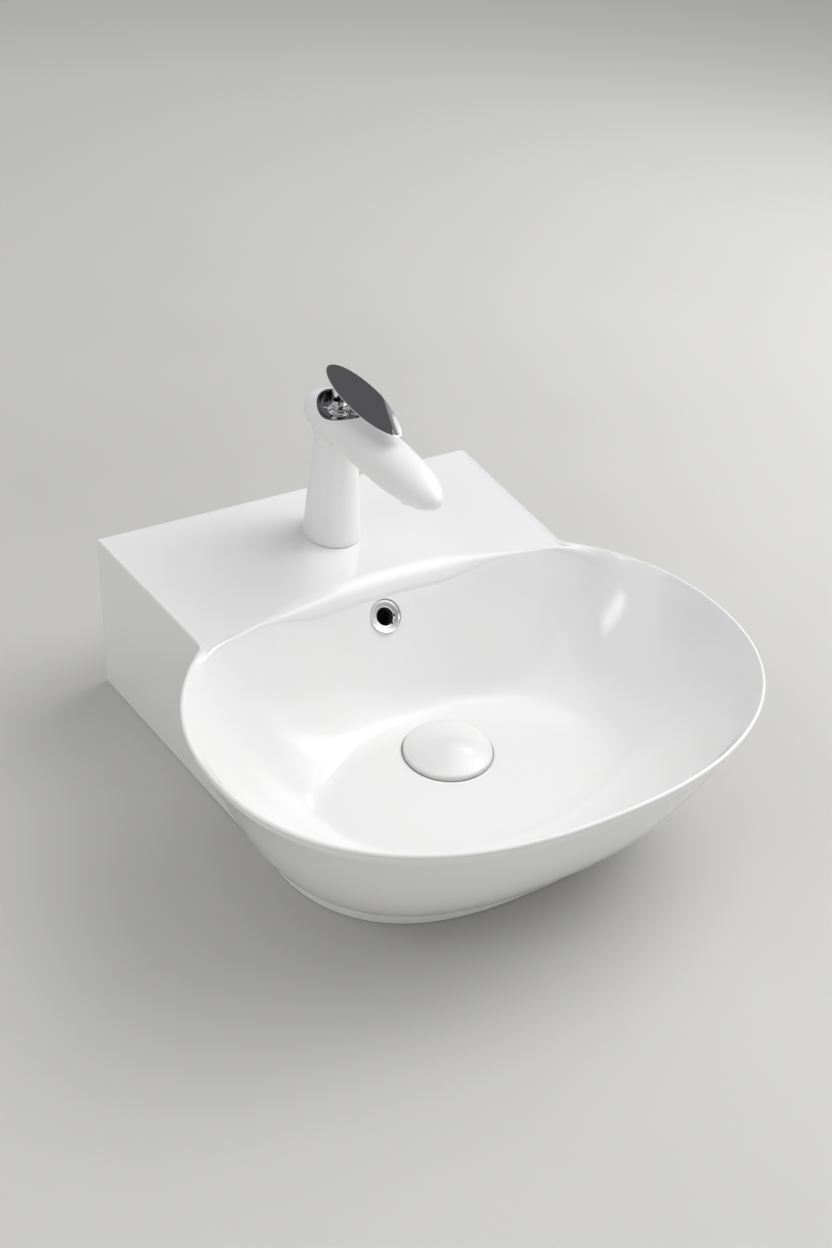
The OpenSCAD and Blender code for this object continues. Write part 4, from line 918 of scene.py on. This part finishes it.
tap = make_mesh("tap_body_coated", *skinned(column()), COAT)
boolean(tap, make_mesh("barrel_tool", *skinned(barrel())), "UNION")
boolean(tap, make_mesh("recess_tool", *skinned(recess(0, REC_LOW, 30))))
boolean(tap, head_cutter(-16, 4, NUT_R))
boolean(tap, head_cutter(-38, 2, CARTRIDGE_R))
boolean(tap, upright_cutter(0, AER_D, AER_Z - 6, AER_Z + 9, AER_R))
for inlet_x in (-INLET_X, INLET_X):
    boolean(tap, upright_cutter(inlet_x, INLET_D, COL_LOW - 1, COL_LOW + 14, INLET_R))
boolean(tap, upright_cutter(0, STUD_D, COL_LOW - 1, COL_LOW + 16, STUD_R))
dress(tap, COAT)
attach(tap, "fixed")
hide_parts("tap_body")

# Cup in the recess, cut off just under the barrel's surface; its near-black tone is painted shade for the
# recess
cup = make_mesh("recess_cup_painted_shade", *skinned(recess(0.05, REC_LOW, 20)), CUP_PAINTED_SHADE)
boolean(cup, make_mesh("cup_inside", *skinned(recess(CUP_WALL, REC_LOW + 0.6, 30))))
boolean(cup, head_cutter(REC_LOW - 2, REC_LOW + 3, ROTOR_R))
low_barrel = make_mesh("cup_top", *skinned(barrel()))
low_barrel.data.transform(Matrix.Translation((0, 0, -0.9 * MM)))
boolean(cup, low_barrel, "INTERSECT")
dress(cup, CUP_PAINTED_SHADE)
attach(cup, "fixed")
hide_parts("recess_ring")

# Lever: a leaf on a boss with a socket for the stem and a hole for the grub screw
LEAF_L, LEAF_W, LEAF_Z, LEAF_FORE, LEAF_T, LEAF_EDGE = 107.0, 31.6, 20.8, 34.0, 3.9, 0.9
LEAF_TURN = np.linspace(0, 2 * math.pi, 144, endpoint=False)
SOCKET, SOCKET_TOP = 3.1, 13.3
GRUB_Z, GRUB_R = 7, 2.3


def leaf_row(s, z):
    """An oval on the leaf at the share s of its outline."""
    t = LEAF_TURN
    z = np.broadcast_to(z, (len(t),))
    return head(np.stack([LEAF_W / 2 * s * np.cos(t), -LEAF_FORE + LEAF_L / 2 * s * np.sin(t), z], 1))


def leaf_top(s):
    """Height of the leaf's top: nearly flat, with a bevel at its front right."""
    fore = 0.62 * s * np.cos(LEAF_TURN) - 0.78 * s * np.sin(LEAF_TURN)
    return LEAF_T - 0.45 * s * s - 8.6 * np.maximum(0, fore - 0.63) ** 1.15


def leaf():
    out = []
    side = leaf_top(1.0) - LEAF_EDGE
    for s in (0.08, 0.2, 0.35, 0.5, 0.65, 0.8, 0.9, 0.96):
        out.append(leaf_row(s, LEAF_Z + side * s ** 4))
    for a in np.radians(np.linspace(-80, 80, 9)):
        z = LEAF_Z + side + LEAF_EDGE / 2 + LEAF_EDGE / 2 * math.sin(a)
        out.append(leaf_row(0.985 + 0.015 * math.cos(a), z))
    for s in np.concatenate([np.linspace(0.98, 0.6, 30), np.linspace(0.57, 0.04, 20)]):
        out.append(leaf_row(s, LEAF_Z + leaf_top(s)))
    return out


def boss_rows():
    rows = ((1.0, 6.4), (1.2, 6.8), (1.6, 7.0), (17.0, 7.0), (19.0, 7.4), (20.5, 8.4), (21.6, 9.6),
            (22.2, 9.6))
    return [head([(r * math.cos(t), r * math.sin(t), z) for t in ROUND]) for z, r in rows]


def socket_rows():
    corners = ((SOCKET, SOCKET), (-SOCKET, SOCKET), (-SOCKET, -SOCKET), (SOCKET, -SOCKET))
    return [head([(x, y, z) for x, y in corners]) for z in (0.0, SOCKET_TOP)]


lever = make_mesh("lever_polished", *skinned(leaf()), CHROME)
boolean(lever, make_mesh("boss_tool", *skinned(boss_rows())), "UNION")
grub = head([(0, 0, GRUB_Z), (0, 9, GRUB_Z)])
boolean(lever, cylinder_cutter(grub[0], grub[1], GRUB_R, 32))
boolean(lever, make_mesh("socket_tool", *skinned(socket_rows())))
dress(lever, CHROME)
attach(lever, "lever")
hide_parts("lever")

# Stage, in metres: the basin's foot stands on the floor, as in the photograph, and the waste's tail goes
# down through a round hole in it
FOOT_GAP = 0.0004
FLOOR_LEVEL = (RIM_Z - BASIN_H) * MM - FOOT_GAP
FLOOR_R, FLOOR_HOLE_R, FLOOR_N = 8, 0.06, 96


def floor_material():
    """Pale floor, a little darker near the basin than further off: the lighter tone further off is painted
    light.
    """
    m, nt, b = new_mat("floor_pale")
    near = ramp(nt, noise(nt, 3.0, 3.0), (0.555, 0.55, 0.53, 1), (0.585, 0.58, 0.56, 1))
    coords = nt.nodes.new("ShaderNodeTexCoord")
    distance = nt.nodes.new("ShaderNodeVectorMath")
    distance.operation = "LENGTH"
    away = nt.nodes.new("ShaderNodeMapRange")
    away.inputs["From Min"].default_value = 0.35
    away.inputs["From Max"].default_value = 1.8
    # Painted light: the floor's colour lightens with distance from the basin.
    far_painted_light = nt.nodes.new("ShaderNodeMixRGB")
    far_painted_light.inputs["Color2"].default_value = (0.79, 0.785, 0.75, 1)
    nt.links.new(coords.outputs["Object"], distance.inputs[0])
    nt.links.new(distance.outputs["Value"], away.inputs["Value"])
    nt.links.new(away.outputs["Result"], far_painted_light.inputs["Fac"])
    nt.links.new(near.outputs["Color"], far_painted_light.inputs["Color1"])
    nt.links.new(far_painted_light.outputs["Color"], b.inputs["Base Color"])
    b.inputs["Roughness"].default_value = 0.6
    b.inputs["Specular IOR Level"].default_value = 0.2
    return m


def make_floor():
    turns = [2 * math.pi * k / FLOOR_N for k in range(FLOOR_N)]
    hole_y = -WASTE_D * MM
    hole = [(FLOOR_HOLE_R * math.cos(t), hole_y + FLOOR_HOLE_R * math.sin(t), FLOOR_LEVEL) for t in turns]
    far = [(FLOOR_R * math.cos(t), FLOOR_R * math.sin(t), FLOOR_LEVEL) for t in turns]
    faces = []
    for k in range(FLOOR_N):
        k1 = (k + 1) % FLOOR_N
        faces.append((k, FLOOR_N + k, FLOOR_N + k1, k1))
    me = bpy.data.meshes.new("studio_floor")
    me.from_pydata(hole + far, [], faces)
    me.materials.append(floor_material())
    floor = bpy.data.objects.new("studio_floor", me)
    bpy.context.scene.collection.objects.link(floor)


def direction(az, el):
    """Unit vector at an angle to the side from the front, and an angle up."""
    a, e = math.radians(az), math.radians(el)
    return (math.sin(a) * math.cos(e), -math.cos(a) * math.cos(e), math.sin(e))


def lobe(nt, under, az, el, wide, narrow, colour, blend="MIX"):
    """Brings a colour into the world's light round one direction, fully within the narrow angle from it."""
    coords = nt.nodes.new("ShaderNodeTexCoord")
    facing = nt.nodes.new("ShaderNodeVectorMath")
    facing.operation = "DOT_PRODUCT"
    facing.inputs[1].default_value = direction(az, el)
    fade = nt.nodes.new("ShaderNodeMapRange")
    fade.interpolation_type = "SMOOTHSTEP"
    fade.inputs["From Min"].default_value = math.cos(math.radians(wide))
    fade.inputs["From Max"].default_value = math.cos(math.radians(narrow))
    tone = nt.nodes.new("ShaderNodeMixRGB")
    tone.blend_type = blend
    tone.inputs["Color2"].default_value = colour
    nt.links.new(coords.outputs["Generated"], facing.inputs[0])
    nt.links.new(facing.outputs["Value"], fade.inputs["Value"])
    nt.links.new(fade.outputs["Result"], tone.inputs["Fac"])
    nt.links.new(under.outputs["Color"], tone.inputs["Color1"])
    return tone


def make_world():
    """Even light, darker at the rear right and high in front. A bright strip low in front lights the skin
    and hardly reaches into the bowl. The camera sees one plain tone."""
    world = bpy.data.worlds.new("studio")
    bpy.context.scene.world = world
    world.use_nodes = True
    nt = world.node_tree
    nt.nodes.clear()
    even = nt.nodes.new("ShaderNodeRGB")
    even.outputs["Color"].default_value = (0.99, 0.995, 1.0, 1)
    tone = lobe(nt, even, 151, 42, 34, 17, (0.2, 0.2, 0.205, 1))
    tone = lobe(nt, tone, -22, 47, 60, 18, (0.36, 0.36, 0.36, 1), "MULTIPLY")
    tone = lobe(nt, tone, 5, -25, 50, 30, (3.6, 3.6, 3.6, 1))
    lit = nt.nodes.new("ShaderNodeBackground")
    lit.inputs["Strength"].default_value = 0.55
    seen = nt.nodes.new("ShaderNodeBackground")
    seen.inputs["Color"].default_value = (0.52, 0.515, 0.5, 1)
    seen.inputs["Strength"].default_value = 1.0
    path = nt.nodes.new("ShaderNodeLightPath")
    mixer = nt.nodes.new("ShaderNodeMixShader")
    out = nt.nodes.new("ShaderNodeOutputWorld")
    nt.links.new(tone.outputs["Color"], lit.inputs["Color"])
    nt.links.new(path.outputs["Is Camera Ray"], mixer.inputs["Fac"])
    nt.links.new(lit.outputs["Background"], mixer.inputs[1])
    nt.links.new(seen.outputs["Background"], mixer.inputs[2])
    nt.links.new(mixer.outputs["Shader"], out.inputs["Surface"])


AIM = Vector((0, -0.28, 0.05))
# How much wider than the lamp each of the nested lamps is, and its share of the power
NESTED = ((1.7, 0.452), (1.35, 0.285), (1.0, 0.156), (0.7, 0.077), (0.45, 0.03))


def area(name, az, el, dist, size, size_y, power, shape="RECTANGLE"):
    """A lamp that looks at the bowl from a direction."""
    d = Vector(direction(az, el))
    li = bpy.data.lights.new(name, "AREA")
    li.shape = shape
    li.size, li.size_y = size, size_y
    li.energy = power
    o = bpy.data.objects.new(name, li)
    o.location = AIM + d * dist
    o.rotation_euler = (-d).to_track_quat("-Z", "Y").to_euler()
    bpy.context.scene.collection.objects.link(o)


def soft(name, az, el, dist, size, size_y, power):
    """Five lamps inside one another, so that the light fades evenly towards its edge."""
    for k, (wide, share) in enumerate(NESTED):
        away = dist + 0.01 * (len(NESTED) - 1 - k)
        area(f"{name}_{k}", az, el, away, size * wide, size_y * wide, power * share, "ELLIPSE")


make_floor()
make_world()
soft("right_window", 88, 52, 2.0, 1.8, 1.3, 29)
soft("window_core", 82, 38, 1.9, 0.42, 0.48, 2.8)
soft("cap_light", 124, 44, 1.9, 0.2, 0.2, 0.4)
soft("low_right", 122, 24, 2.0, 0.3, 0.22, 0.6)
area("overhead", 0, 85, 2.2, 1.6, 1.6, 6.5)
soft("left_wall", -90, 35, 2.0, 1.3, 1.1, 6.5)
for az, el in ((-76, 46), (-74.5, 50), (-71, 54)):
    soft(f"left_strip_{el}", az, el, 2.0, 0.16, 0.17, 0.42)

# Camera at the photo's angle
YAW, PITCH, ROLL = 0.59292855, 0.61250253, 0.07356203
EYE = (-0.5454, -1.0218, 0.750)
FOCAL_PX, PHOTO_H_PX, SENSOR_H = 1515.0, 1248.0, 36.0
ahead = Vector((math.sin(YAW) * math.cos(PITCH), math.cos(YAW) * math.cos(PITCH), -math.sin(PITCH)))
level = Vector((math.cos(YAW), -math.sin(YAW), 0))
above = level.cross(ahead)
right = level * math.cos(ROLL) + above * math.sin(ROLL)
upwards = -level * math.sin(ROLL) + above * math.cos(ROLL)
cam = bpy.data.cameras.new("camera")
cam.sensor_fit = "VERTICAL"
cam.sensor_height = SENSOR_H
cam.lens = FOCAL_PX / PHOTO_H_PX * SENSOR_H
cam.clip_end = 50
cam_o = bpy.data.objects.new("camera", cam)
cam_rows = [(right[i], upwards[i], -ahead[i], EYE[i]) for i in range(3)]
cam_o.matrix_world = Matrix((*cam_rows, (0, 0, 0, 1)))
bpy.context.scene.collection.objects.link(cam_o)
bpy.context.scene.camera = cam_o
bpy.context.scene.view_settings.view_transform = "Standard"
